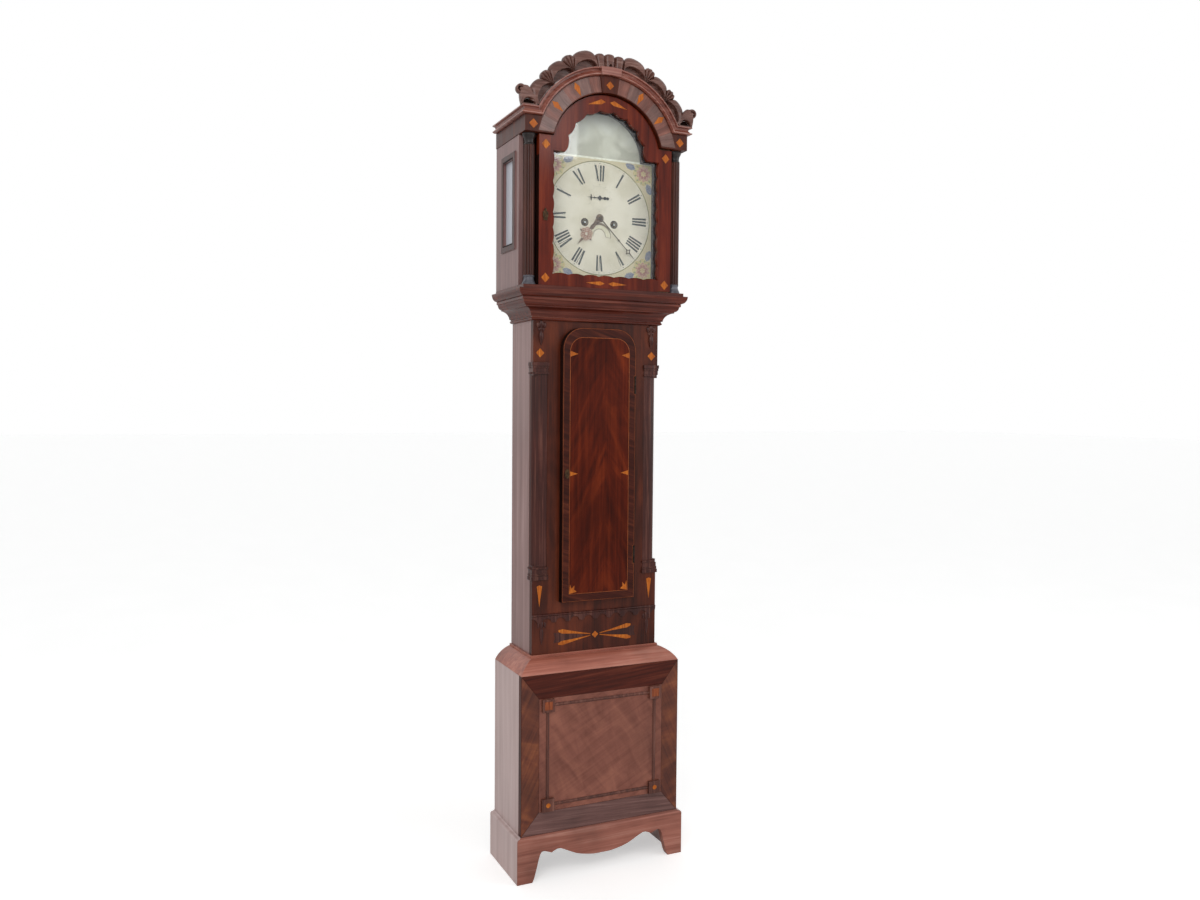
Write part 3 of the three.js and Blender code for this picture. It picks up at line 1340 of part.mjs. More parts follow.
// Anchor with its pallets and the crutch that guides the pendulum
function makeAnchor() {
  const inFront = frontPlateBack - seat;
  const back = pendulumForward - suspensionWidth;
  const reach = escapeWheelRadius + palletClearance;
  const tipAngle = THREE.MathUtils.degToRad(palletAngle);
  const tip = [reach * Math.sin(tipAngle), secondsHeight + reach * Math.cos(tipAngle)];
  const heel = [palletReach, tip[1] + palletThickness];
  const neck = [palletReach - 2 * arborRadius, heel[1] + arborRadius];
  const armTop = palletHeight + 2 * arborRadius;
  const shape = new THREE.Shape();
  shape.moveTo(-tip[0], tip[1]);
  shape.lineTo(-heel[0], heel[1]);
  shape.quadraticCurveTo(-palletReach, armTop, 0, armTop);
  shape.quadraticCurveTo(palletReach, armTop, heel[0], heel[1]);
  shape.lineTo(tip[0], tip[1]);
  shape.lineTo(neck[0] - arborRadius, heel[1]);
  shape.quadraticCurveTo(neck[0] - arborRadius, palletHeight - arborRadius,
    0, palletHeight - arborRadius);
  shape.quadraticCurveTo(-neck[0] + arborRadius, palletHeight - arborRadius,
    -neck[0] + arborRadius, heel[1]);
  const anchor = plate(shape, escapeWheelForward - palletThickness / 2,
    escapeWheelForward + palletThickness);
  const forkHeight = palletHeight - crutchDrop;
  const gap = pendulumRod + crutchForkGap;
  const wire = arborRadius;
  const wireBack = pendulumForward + suspensionWidth / 2 + 2 * wire;
  const wireTo = box(-wire, wire, wireBack, wireBack + 2 * wire, forkHeight, palletHeight);
  const bridge = box(-gap - wire, gap + wire, wireBack, wireBack + 2 * wire, forkHeight,
    forkHeight + 2 * wire);
  const tines = [-1, 1].map((sign) => {
    const [left, right] = span(sign, gap, gap + wire);
    return box(left, right, back, wireBack + wire, forkHeight, forkHeight + 2 * wire);
  });
  const arbor = rod(arborRadius, wireBack, inFront, 0, palletHeight);
  add('anchor', join(arbor, anchor, wireTo, bridge, ...tines), steel);
}

// Seconds pendulum: suspension spring, rod, bob and rating nut
function makePendulum() {
  const bobHeight = palletHeight - pendulumLength;
  const springTop = palletHeight + cockSheet + cockSheet;
  const springBottom = palletHeight - suspensionLength;
  const half = suspensionWidth / 2;
  const head = box(-suspensionWidth / 2, suspensionWidth / 2, pendulumForward - half,
    pendulumForward + half, springTop + running, springTop + cockSheet);
  const spring = box(-suspensionSheet / 2, suspensionSheet / 2, pendulumForward - half,
    pendulumForward + half, springBottom, springTop + running + seat);
  const block = box(-pendulumRod, pendulumRod, pendulumForward - half, pendulumForward + half,
    springBottom, springBottom + suspensionWidth);
  const tail = bobHeight - bobRadius - rodTail;
  const nutTop = bobHeight - bobRadius - seat;
  add('pendulum_rod', join(head, spring, block,
    pin(pendulumRod, tail, springBottom + seat, 0, pendulumForward),
    pin(ratingNut, nutTop - ratingNut, nutTop, 0, pendulumForward)), steel);
  const rim = bobThickness / 8;
  const bobBack = pendulumForward - bobThickness / 2;
  const bobFront = pendulumForward + bobThickness / 2;
  const shoulder = bobRadius * bobShoulderShare;
  const shoulderIn = bobRimShare * rim;
  const profile = [[0, bobBack], [bobRadius / 2, bobBack + rim], [shoulder, bobBack + shoulderIn],
    [bobRadius, pendulumForward - rim], [bobRadius, pendulumForward + rim],
    [shoulder, bobFront - shoulderIn], [bobRadius / 2, bobFront - rim], [0, bobFront]];
  add('pendulum_bob', cut(turnedForward(profile, 0, bobHeight),
    pin(pendulumRod + running, bobHeight - bobRadius - overrun, bobHeight + bobRadius + overrun,
      0, pendulumForward)), brass);
}

// Lead weights on pulleys, and the gut lines that hang them from the barrels
function makeWeights() {
  for (const [name, sign] of [['going', 1], ['strike', -1]]) {
    const fall = sign * windingAcross - fallOut;
    const x = fall + lineLoop;
    const bottom = weightTop - weightHeight;
    const shoulder = weightRadius / 4;
    const body = turned([[0, bottom], [weightRadius - shoulder / 2, bottom],
      [weightRadius, bottom + shoulder / 2], [weightRadius, weightTop - shoulder],
      [weightRadius - shoulder, weightTop], [0, weightTop]], x, lineForward);
    const groove = pulleyWidth / 2;
    const flange = pulleyRadius + lineRadius;
    const disc = turnedForward([[0, lineForward - groove], [flange, lineForward - groove],
      [pulleyRadius, lineForward - lineRadius - running],
      [pulleyRadius, lineForward + lineRadius + running],
      [flange, lineForward + groove], [0, lineForward + groove]], x, pulleyHeight);
    const strap = pulleyWidth / 2 + running;
    const stirrup = [-1, 1].map((side) => {
      const [inner, outer] = side < 0
        ? [lineForward - strap - arborRadius, lineForward - strap]
        : [lineForward + strap, lineForward + strap + arborRadius];
      return box(x - 2 * arborRadius, x + 2 * arborRadius, inner, outer,
        weightTop + shoulder / 2, pulleyHeight + 2 * arborRadius);
    });
    const axle = rod(arborRadius, lineForward - strap - arborRadius,
      lineForward + strap + arborRadius, x, pulleyHeight);
    const neck = pin(2 * arborRadius, weightTop - seat, weightTop + shoulder, x, lineForward);
    const yoke = box(x - 2 * arborRadius, x + 2 * arborRadius, lineForward - strap - arborRadius,
      lineForward + strap + arborRadius, weightTop + shoulder / 2, weightTop + shoulder);
    add(`${name}_weight`, join(body, disc, axle, yoke, neck, ...stirrup), lead);

    const points = [];
    points.push(new THREE.Vector3(fall, -lineForward, windingHeight));
    points.push(new THREE.Vector3(fall, -lineForward, pulleyHeight));
    for (let step = 1; step < archSteps / 2; step += 1) {
      const angle = Math.PI * step / (archSteps / 2);
      points.push(new THREE.Vector3(x - lineLoop * Math.cos(angle), -lineForward,
        pulleyHeight - lineLoop * Math.sin(angle)));
    }
    points.push(new THREE.Vector3(x + lineLoop, -lineForward, pulleyHeight));
    points.push(new THREE.Vector3(x + lineLoop, -lineForward, cheekTop));
    add(`${name}_line`, tube(points, lineRadius), gutLine);
  }
}

// A round cord through points that lie in one plane facing forward
function tube(points, radius) {
  const sides = 8;
  const forward = new THREE.Vector3(0, -1, 0);
  const stations = points.map((point, place) => {
    const before = points[Math.max(place - 1, 0)];
    const after = points[Math.min(place + 1, points.length - 1)];
    const along = after.clone().sub(before).normalize();
    const across = along.clone().cross(forward).normalize();
    return Array.from({ length: sides }, (_, side) => {
      const angle = 2 * Math.PI * side / sides;
      return point.clone().addScaledVector(across, radius * Math.cos(angle))
        .addScaledVector(forward, radius * Math.sin(angle));
    });
  });
  const flat = Array.from({ length: sides }, (_, side) => {
    const angle = 2 * Math.PI * side / sides;
    return new THREE.Vector2(Math.cos(angle), Math.sin(angle));
  });
  return loft(stations, flat);
}

// Hands: hour with its pipe, minute with its pipe, and the small seconds hand
function makeHands() {
  const hand = (length, width, back, angle, x, height) => {
    const shape = polygon([[-width, -width], [width, -width], [width / 2, length * handWaistShare],
      [width, length * handBarbShare], [width / 2, length * handTipShare], [0, length],
      [-width / 2, length * handTipShare], [-width, length * handBarbShare],
      [-width / 2, length * handWaistShare]]);
    const geometry = plate(shape, back, back + handSheet);
    geometry.rotateY(angle);
    geometry.translate(x, 0, height);
    return geometry;
  };
  const pipe = (outer, back, front) => cut(rod(outer, back, front, 0, dialCentre, roundSides),
    rod(outer - pipeWall, back - overrun, front + overrun, 0, dialCentre, roundSides));
  const clockHours = clockHour + clockMinutes / 60;
  const hourAngle = 2 * Math.PI * clockHours / 12;
  const minuteAngle = 2 * Math.PI * clockMinutes / 60;
  const secondsAngle = -Math.PI / 2 - Math.PI / 24;
  const plateFront = frontPlateBack + plateSheet;
  const hourBore = rod(hourPipe - pipeWall, hourHandForward - overrun, hourHandForward + overrun,
    0, dialCentre, roundSides);
  const hourBlade = join(hand(hourHandLength, hourPipe, hourHandForward, hourAngle, 0, dialCentre),
    rod(hourBossShare * hourPipe, hourHandForward, hourHandForward + handSheet, 0, dialCentre,
      roundSides));
  add('hour_hand', join(cut(hourBlade, hourBore),
    pipe(hourPipe, plateFront + 2 * running, hourHandForward + seat)), brass);
  const minuteBore = rod(minutePipe - pipeWall, minuteHandForward - overrun,
    minuteHandForward + overrun, 0, dialCentre, roundSides);
  const minuteBlade = join(
    hand(minuteHandLength, minutePipe, minuteHandForward, minuteAngle, 0, dialCentre),
    rod(minuteBossShare * minutePipe, minuteHandForward, minuteHandForward + handSheet,
      0, dialCentre, roundSides));
  add('minute_hand', join(cut(minuteBlade, minuteBore),
    pipe(minutePipe, plateFront + running, minuteHandForward + seat)), brass);
  const boss = rod(2 * arborRadius, secondsHandForward, secondsHandForward + 2 * handSheet,
    0, secondsHeight);
  add('seconds_hand', join(hand(secondsHandLength, arborRadius * secondsHandWidthShare, secondsHandForward,
    secondsAngle, 0, secondsHeight), boss,
  rod(arborRadius, dialFront - dialSheet, secondsHandForward + seat, 0, secondsHeight)), steel);
}

// Bell on its post, and the hammer that strikes its rim
function makeStriking() {
  const top = bellRim + bellHeight;
  const inner = bellRadius - bellWall;
  const outside = bend([bellRadius, bellRim], [0, top], [bellRadius, top]);
  const inside = bend([0, top - bellWall], [inner, bellRim], [inner, top - bellWall]);
  const cup = turned([...outside, ...inside, [bellRadius, bellRim]], bellAcross, bellForward);
  const postFront = backPlateFront - plateSheet - seat;
  const postBack = postFront - 2 * bellPost;
  const armTop = top + 2 * bellPost;
  const armBottom = armTop - 2 * bellPost;
  const postAcross = bellAcross + bellRadius * bellPostShare;
  const stem = pin(bellPost, top - 2 * bellWall, armTop, bellAcross, bellForward);
  const arm = box(bellAcross - bellPost, bellAcross + bellPost, postBack, bellForward, armBottom, armTop);
  const upright = box(postAcross - bellPost, postAcross + bellPost, postBack, postFront,
    plateTop - 4 * bellPost, armTop);
  const across = box(bellAcross - bellPost, postAcross + bellPost, postBack, postFront, armBottom, armTop);
  add('bell', join(cup, stem, arm, upright, across), steel);

  const pivotHeight = plateTop - hammerPivotDrop;
  const headX = bellAcross + bellRadius + hammerGap + hammerHead;
  const hammerPivotAcross = headX + hammerShankOut;
  const headBottom = bellRim - hammerHeadHeight / 3;
  const shank = arborRadius;
  add('hammer', join(
    rod(arborRadius, bellForward - 2 * hammerHead, frontPlateBack - seat, hammerPivotAcross,
      pivotHeight),
    box(hammerPivotAcross - shank, hammerPivotAcross + shank, bellForward - shank,
      bellForward + shank, pivotHeight, headBottom + hammerHeadHeight),
    box(headX - hammerHead, headX + hammerHead, bellForward - hammerHead,
      bellForward + hammerHead, headBottom, headBottom + hammerHeadHeight)), steel);
}

makePlinth();
makeBase();
makeCaddy();
makeBackBoard();
makeTrunk();
makePilasters();
makeTrunkBead();
makeTrunkDoor();
makeThroat();
makeSeatBoard();
makeHoodBase();
makeHoodSides();
makeMask();
makeFrieze();
makeCornice();
makeRoof();
makeCresting();
makeColumns();
makeHoodDoor();
makeDial();
makePlates();
makeTrains();
makeAnchor();
makePendulum();
makeWeights();
makeHands();
makeStriking();

export default clock;
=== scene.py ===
"""Longcase clock in mahogany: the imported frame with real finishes, carving, inlay and paint.

Sizes are in millimetres. Places are given as across, depth forward of the clock's back plane,
and height above the floor.
"""

import logging
from dataclasses import dataclass, replace
from enum import Enum
from functools import cache, cached_property, partial
from math import atan2, copysign, cos, degrees, hypot, pi, radians, sin, sqrt, tau
from typing import Any, Callable, Mapping, Optional, Sequence, Union

import bmesh
import bpy
from mathutils import Matrix, Vector


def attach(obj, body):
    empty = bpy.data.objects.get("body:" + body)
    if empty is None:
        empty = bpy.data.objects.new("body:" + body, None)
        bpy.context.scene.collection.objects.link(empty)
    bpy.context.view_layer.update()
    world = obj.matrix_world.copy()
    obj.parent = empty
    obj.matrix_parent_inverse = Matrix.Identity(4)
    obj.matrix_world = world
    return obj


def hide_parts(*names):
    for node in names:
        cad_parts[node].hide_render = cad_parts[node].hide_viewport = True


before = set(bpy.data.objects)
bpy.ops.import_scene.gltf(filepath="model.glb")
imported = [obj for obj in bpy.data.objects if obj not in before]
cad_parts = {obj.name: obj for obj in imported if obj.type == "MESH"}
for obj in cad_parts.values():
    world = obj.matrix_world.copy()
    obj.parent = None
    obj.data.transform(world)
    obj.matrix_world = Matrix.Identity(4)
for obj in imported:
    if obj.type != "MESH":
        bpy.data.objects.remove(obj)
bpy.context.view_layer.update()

MM = 0.001
BACK_PLANE = 116.15
ARCH_CENTRE = 1900.5
DIAL_CENTRE = 1747.0
SECONDS_CENTRE = 1800.5
SIDES = (-1, 1)
VENEER = 0.25
INLAY = 0.3
LOG = logging.getLogger("longcase_clock")

Point = tuple[float, float]
Points = tuple[Point, ...]
Outline = list[Point]
Place = tuple[float, float, float]
Mesh = bpy.types.Mesh
Socket = bpy.types.NodeSocket
Adder = Callable[..., Socket]


class Grain(Enum):
    """The direction in which the grain of a solid piece of wood runs."""

    UPRIGHT = (0.0, 0.0, 1.0)
    LEVEL = (1.0, 0.0, 0.0)
    FORE_AND_AFT = (0.0, 1.0, 0.0)


class Figure(Enum):
    """The figure that a wood shows under its polish."""

    PLAIN = "plain"
    MOTTLED = "mottled"
    FLAME = "flame"


class Facing(Enum):
    """Which way a flat plate faces."""

    LEFT = -1
    FRONT = 0
    RIGHT = 1


def linear(colour: str) -> tuple[float, float, float, float]:
    """Turns an sRGB hex colour into the linear one that a shader takes.

    Args:
        colour: Hex digits, such as "#8a4a3a".

    Returns:
        Red, green, blue and alpha.
    """
    parts = [int(colour[start:start + 2], 16) / 255 for start in (1, 3, 5)]
    made = [part / 12.92 if part <= 0.04045 else ((part + 0.055) / 1.055) ** 2.4 for part in parts]
    return made[0], made[1], made[2], 1.0


def add_node(tree: bpy.types.NodeTree, family: str, kind: str,
             inputs: Optional[Mapping[Any, Any]] = None, ramp: Sequence[tuple[float, str]] = (),
             out: Union[int, str] = 0, **settings: Any) -> Optional[Socket]:
    """Adds one node, sets it and links it.

    Args:
        tree: The shader or geometry tree.
        family: How the node's type name starts, such as "ShaderNode".
        kind: How it goes on, such as "TexNoise".
        inputs: A value, an output or a list of outputs for each input, by name or number.
        ramp: Stops of a colour ramp, as position and hex colour.
        out: The output to give back, by name or number.
        **settings: The node's own settings.

    Returns:
        That output of the new node, if it has any.
    """
    node = tree.nodes.new(family + kind)
    for name, value in settings.items():
        setattr(node, name, value)
    for key, value in (inputs or {}).items():
        for source in value if isinstance(value, list) else [value]:
            if isinstance(source, Socket):
                tree.links.new(source, node.inputs[key])
            else:
                node.inputs[key].default_value = source
    if ramp:
        stops = node.color_ramp.elements
        while len(stops) < len(ramp):
            stops.new(0.5)
        for stop, (position, colour) in zip(stops, ramp):
            stop.position, stop.color = position, linear(colour)
    return node.outputs[out] if len(node.outputs) else None


# Finishes

@dataclass(frozen=True)
class Finish:
    """A surface that is built once, as a node material with its own name."""

    name: str

    def material(self) -> bpy.types.Material:
        """Builds the material, or gives the one already built.

        Returns:
            The material.
        """
        known = bpy.data.materials.get(self.name)
        if known:
            return known
        material = bpy.data.materials.new(self.name)
        material.use_nodes = True
        material.node_tree.nodes.clear()
        add = partial(add_node, material.node_tree, "ShaderNode")
        surface = add("BsdfPrincipled", self.sockets(add))
        add("OutputMaterial", {"Surface": self.covered(add, surface)})
        return material

    def sockets(self, add: Adder) -> dict[str, Any]:
        """Gives what goes into each of the shader's sockets."""
        raise NotImplementedError

    def covered(self, add: Adder, surface: Socket) -> Socket:
        """Gives the shader with whatever lies over it."""
        return surface


@dataclass(frozen=True)
class PolishedWood(Finish):
    """Hardwood under French polish, with grain, pores, worn arrises and an uneven sheen.

    French polish gives the eye a thin gloss coat over a soft brown, brightest on the arrises
    that hands and dusters have rubbed.

    Attributes:
        ground: The wood's main colour.
        stripe: The colour of its dark growth lines.
        glow: The colour of its light streaks and worn edges.
        stripe_mm: Distance from one growth line to the next across the grain.
        run_mm: Length of a streak along the grain.
        mapped: Whether the grain follows the piece's own veneer map.
        polish: Weight of the gloss coat.
        gloss: Strength of the sheen under that coat.
        cloud: How far broad patches darken the wood.
    """

    ground: str
    stripe: str
    glow: str
    grain: Grain = Grain.UPRIGHT
    figure: Figure = Figure.PLAIN
    stripe_mm: float = 9.0
    run_mm: float = 260.0
    mapped: bool = False
    roughness: float = 0.38
    polish: float = 0.12
    gloss: float = 0.3
    cloud_mm: float = 150.0
    cloud: float = 0.55

    def sockets(self, add: Adder) -> dict[str, Any]:
        """Draws the growth lines, clouds, pores, rubbed arrises and sheen.

        Args:
            add: Adds a node.

        Returns:
            What goes into the shader's sockets.
        """
        if self.mapped:
            place, along = add("UVMap", uv_map="veneer"), Vector((0.0, 1.0, 0.0))
        else:
            place, along = add("TexCoord", out="Object"), Vector(self.grain.value)
        across = Vector((1.0, 1.0, 1.0)) - along
        # Growth lines are long streaks about a finger's width apart
        streak = add("Mapping", {
            "Vector": place, "Scale": across / (self.stripe_mm * MM) + along / (self.run_mm * MM)})
        lines = add("TexNoise", {
            "Vector": streak, "Scale": 1.0, "Detail": 6.0, "Roughness": 0.62, "Distortion": 0.5})
        clouds = add("TexNoise", {
            "Vector": place, "Scale": 1.0 / (self.cloud_mm * MM), "Detail": 3.0})
        wood = add("ValToRGB", {"Fac": lines}, [
            (0.3, self.stripe), (0.52, self.ground), (0.78, self.glow)])
        shade = add("ValToRGB", {"Fac": clouds}, [
            (0.3, "#7d7472"), (0.5, "#d9d4d2"), (0.7, "#ffffff")])
        colour = add("MixRGB", {
            "Fac": self.cloud, "Color1": self._figured(add, place, wood), "Color2": shade},
            blend_type="MULTIPLY")
        # Open pores are a tenth of a millimetre wide, drawn 0.9 mm wide so that they show
        grit = add("Mapping", {"Vector": place, "Scale": across / (0.9 * MM) + along / (14.0 * MM)})
        pores = add("TexNoise", {"Vector": grit, "Scale": 1.0, "Detail": 2.0})
        dark = add("MapRange", {"Value": pores, "From Min": 0.56, "From Max": 0.72, "To Max": 0.35})
        colour = add("MixRGB", {"Fac": dark, "Color1": colour, "Color2": linear(self.stripe)})
        # Arrises are rubbed pale where a bevelled normal leaves the face's own
        soft = add("Bevel", {"Radius": 1.6 * MM}, samples=4)
        flat = add("VectorMath", {
            0: soft, 1: add("NewGeometry", out="Normal")},
            operation="DOT_PRODUCT", out="Value")
        edge = add("MapRange", {"Value": flat, "From Min": 0.995, "From Max": 0.86, "To Max": 0.55})
        rubbed = add("Math", {0: edge, 1: clouds}, operation="MULTIPLY")
        return {
            "Base Color": add("MixRGB", {
                "Fac": rubbed, "Color1": colour, "Color2": linear(self.glow)}),
            "Roughness": add("MapRange", {
                "Value": lines, "From Min": 0.3, "From Max": 0.7,
                "To Min": self.roughness - 0.06, "To Max": self.roughness + 0.08}),
            "Normal": add("Bump", {
                "Height": pores, "Normal": soft, "Strength": 0.12, "Distance": 0.3 * MM}),
            "IOR": 1.5, "Specular IOR Level": self.gloss,
            "Coat Weight": self.polish, "Coat Roughness": 0.14}

    def _figured(self, add: Adder, place: Socket, wood: Socket) -> Socket:
        """Lays the figure over the plain grain.

        Args:
            add: Adds a node.
            place: The coordinates that the grain reads.
            wood: The plain grain's colour.

        Returns:
            The figured colour.
        """
        if self.figure is Figure.PLAIN:
            return wood
        if self.figure is Figure.MOTTLED:
            spread = (9.0, 26.0, 9.0) if self.mapped else (15.0, 15.0, 4.5)
            amount, twist = 0.48, 0.9
        else:
            # The plumes of a crotch veneer spread upwards from the middle line
            parts = add("SeparateXYZ", {"Vector": place}).node.outputs
            lean = add("Math", {0: parts["X"]}, operation="ABSOLUTE")
            rise = add("Math", {0: lean, 1: 1.7, 2: parts["Y" if self.mapped else "Z"]},
                       operation="MULTIPLY_ADD")
            place = add("CombineXYZ", {"X": parts["X"], "Z": rise})
            spread, amount, twist = (7.0, 1.0, 7.5), 0.5, 1.6
        patch = add("Mapping", {"Vector": place, "Scale": spread})
        cloud = add("TexNoise", {"Vector": patch, "Scale": 1.0, "Detail": 4.0, "Distortion": twist})
        tone = add("ValToRGB", {"Fac": cloud}, [
            (0.34, self.stripe), (0.5, self.ground), (0.66, self.glow)])
        return add("MixRGB", {"Fac": amount, "Color1": wood, "Color2": tone})


@dataclass(frozen=True)
class CastMetal(Finish):
    """Brass, steel or lead as a clockmaker leaves it, dulled by age.

    Old brass goes from gold to brown in its hollows, steel keeps a grey sheen and lead a dull
    skin.

    Attributes:
        bright: The colour where it is rubbed.
        dull: The colour where it has tarnished.
        patch_mm: Size of a patch of tarnish.
        marks_mm: Distance between file marks or lathe rings.
    """

    bright: str
    dull: str
    roughness: float = 0.32
    metallic: float = 1.0
    patch_mm: float = 18.0
    marks_mm: float = 0.4

    def sockets(self, add: Adder) -> dict[str, Any]:
        """Draws the tarnish and the marks of the file.

        Args:
            add: Adds a node.

        Returns:
            What goes into the shader's sockets.
        """
        place = add("TexCoord", out="Object")
        patches = add("TexNoise", {
            "Vector": place, "Scale": 1.0 / (self.patch_mm * MM), "Detail": 5.0, "Roughness": 0.6})
        # File marks are finer than a hair, drawn far enough apart to show
        marks = add("TexNoise", {
            "Vector": place, "Scale": 1.0 / (self.marks_mm * MM), "Detail": 2.0})
        return {
            "Base Color": add("ValToRGB", {"Fac": patches}, [
                (0.32, self.dull), (0.62, self.bright)]),
            "Roughness": add("MapRange", {
                "Value": patches, "From Min": 0.3, "From Max": 0.7,
                "To Min": self.roughness + 0.16, "To Max": self.roughness - 0.06}),
            "Normal": add("Bump", {
                "Height": marks, "Strength": 0.1, "Distance": 0.15 * MM}),
            "Metallic": self.metallic}


@dataclass(frozen=True)
class OilPaint(Finish):
    """Oil paint brushed thinly on iron or wood, which looks matt, faintly crazed and yellowed.

    Attributes:
        fresh: The paint's colour.
        aged: Its colour where it has yellowed or worn.
        patch_mm: Size of a worn patch.
    """

    fresh: str
    aged: str
    roughness: float = 0.42
    patch_mm: float = 12.0

    def sockets(self, add: Adder) -> dict[str, Any]:
        """Draws the wear.

        Args:
            add: Adds a node.

        Returns:
            What goes into the shader's sockets.
        """
        wear = add("TexNoise", {
            "Vector": add("TexCoord", out="Object"),
            "Scale": 1.0 / (self.patch_mm * MM), "Detail": 5.0, "Roughness": 0.65})
        return {
            "Base Color": add("ValToRGB", {"Fac": wear}, [
                (0.38, self.aged), (0.56, self.fresh)]),
            "Roughness": add("MapRange", {
                "Value": wear, "To Min": self.roughness - 0.08, "To Max": self.roughness + 0.12}),
            "Normal": add("Bump", {
                "Height": wear, "Strength": 0.08, "Distance": 0.1 * MM}),
            "Specular IOR Level": 0.2}


@dataclass(frozen=True)
class PaintedDial(Finish):
    """Iron dial plate in cream paint, with tinted corners and a wash of colour in the arch.

    Japanned iron gives the eye a smooth eggshell gloss, faintly crazed and yellowed.
    """

    cream: str = "#ddd1c2"
    aged: str = "#cabda9"
    corner: str = "#c9b792"
    sky: str = "#e4e0d8"
    haze: str = "#cfcabd"
    land: str = "#b3ad9f"
    circle_mm: float = 150.0
    arch_foot_mm: float = 1904.0

    def sockets(self, add: Adder) -> dict[str, Any]:
        """Draws the cream ring, the corners, the arch and the crazing.

        Args:
            add: Adds a node.

        Returns:
            What goes into the shader's sockets.
        """
        place = add("TexCoord", out="Object")
        parts = add("SeparateXYZ", {"Vector": place}).node.outputs
        reach = add("Mapping", {
            "Vector": place, "Location": (0, 0, -DIAL_CENTRE * MM), "Scale": (1, 0, 1)})
        radius = add("VectorMath", {0: reach}, operation="LENGTH", out="Value")
        outside = add("Math", {0: radius, 1: self.circle_mm * MM}, operation="GREATER_THAN")
        above = add("Math", {0: parts["Z"], 1: self.arch_foot_mm * MM}, operation="GREATER_THAN")
        yellowing = add("TexNoise", {"Vector": place, "Scale": 1.0 / (70.0 * MM), "Detail": 4.0})
        cream = add("ValToRGB", {"Fac": yellowing}, [(0.36, self.aged), (0.58, self.cream)])
        corner = add("MixRGB", {"Fac": 0.8, "Color1": cream, "Color2": linear(self.corner)})
        # A soft wash of sky over land stands in the arch, with no picture in it
        drift = add("TexNoise", {
            "Vector": place, "Scale": 1.0 / (45.0 * MM), "Detail": 4.0, "Distortion": 0.6})
        fall = add("MapRange", {
            "Value": parts["Z"], "From Min": 1.905, "From Max": 2.02, "To Min": 0.55,
            "To Max": -0.1})
        mist = add("Math", {0: fall, 1: drift}, operation="ADD")
        arch = add("ValToRGB", {"Fac": mist}, [
            (0.45, self.sky), (0.72, self.haze), (0.95, self.land)])
        square = add("MixRGB", {"Fac": outside, "Color1": cream, "Color2": corner})
        # Crazing runs in cells about 4 mm across
        cracks = add(
            "TexVoronoi", {"Vector": place, "Scale": 1.0 / (4.0 * MM)}, feature="DISTANCE_TO_EDGE")
        return {
            "Base Color": add("MixRGB", {"Fac": above, "Color1": square, "Color2": arch}),
            "Roughness": add("MapRange", {
                "Value": yellowing, "To Min": 0.25, "To Max": 0.4}),
            "Normal": add("Bump", {
                "Height": cracks, "Strength": 0.05, "Distance": 0.1 * MM})}


@dataclass(frozen=True)
class CrownGlass(Finish):
    """Old crown glass, clear with a faint tint and slightly wavy, as blown discs were.

    Attributes:
        tint: The colour that light takes through it.
        haze: How far dust and age dim it, from 0 to 1.
        dust: The colour of that haze.
    """

    tint: str = "#f4f8f6"
    haze: float = 0.05
    dust: str = "#c4ccd4"

    def sockets(self, add: Adder) -> dict[str, Any]:
        """Draws the waves and smears.

        Args:
            add: Adds a node.

        Returns:
            What goes into the shader's sockets.
        """
        place = add("TexCoord", out="Object")
        waves = add("TexNoise", {"Vector": place, "Scale": 1.0 / (60.0 * MM), "Detail": 1.0})
        smears = add("TexNoise", {"Vector": place, "Scale": 1.0 / (35.0 * MM), "Detail": 4.0})
        return {
            "Base Color": linear(self.tint), "IOR": 1.5, "Transmission Weight": 1.0,
            "Roughness": add("MapRange", {
                "Value": smears, "To Min": 0.01, "To Max": 0.05}),
            "Normal": add("Bump", {
                "Height": waves, "Strength": 0.12, "Distance": 0.8 * MM})}

    def covered(self, add: Adder, surface: Socket) -> Socket:
        """Lays the dust on the glass, and lets light through it to cast no hard shadow.

        Args:
            add: Adds a node.
            surface: The clean glass.

        Returns:
            The dusty glass.
        """
        film = add("BsdfPrincipled", {"Base Color": linear(self.dust), "Roughness": 0.5})
        hazed = add("MixShader", {"Fac": self.haze, 1: surface, 2: film})
        clear = add("BsdfTransparent", {"Color": linear(self.tint)})
        shadow = add("LightPath", out="Is Shadow Ray")
        return add("MixShader", {"Fac": shadow, 1: hazed, 2: clear})


@dataclass(frozen=True)
class StudioFloor(Finish):
    """Matt painted floor, which looks white to the camera but keeps the clock's shadow."""

    dark: str = "#eeedeb"
    pale: str = "#f2f1ef"
    lift: float = 0.42

    def sockets(self, add: Adder) -> dict[str, Any]:
        """Draws a faint mottle.

        Args:
            add: Adds a node.

        Returns:
            What goes into the shader's sockets.
        """
        mottle = add("TexNoise", {
            "Vector": add("TexCoord", out="Object"), "Scale": 3.0, "Detail": 3.0})
        colour = add("ValToRGB", {"Fac": mottle}, [(0.3, self.dark), (0.7, self.pale)])
        return {"Base Color": colour, "Roughness": 0.7}

    def covered(self, add: Adder, surface: Socket) -> Socket:
        """Adds the white that only the camera sees.

        Args:
            add: Adds a node.
            surface: The paint.

        Returns:
            The lifted paint.
        """
        seen = add(
            "Math", {0: add("LightPath", out="Is Camera Ray"), 1: self.lift}, operation="MULTIPLY")
        glow = add("Emission", {"Color": linear("#ffffff"), "Strength": seen})
        return add("AddShader", {0: surface, 1: glow})


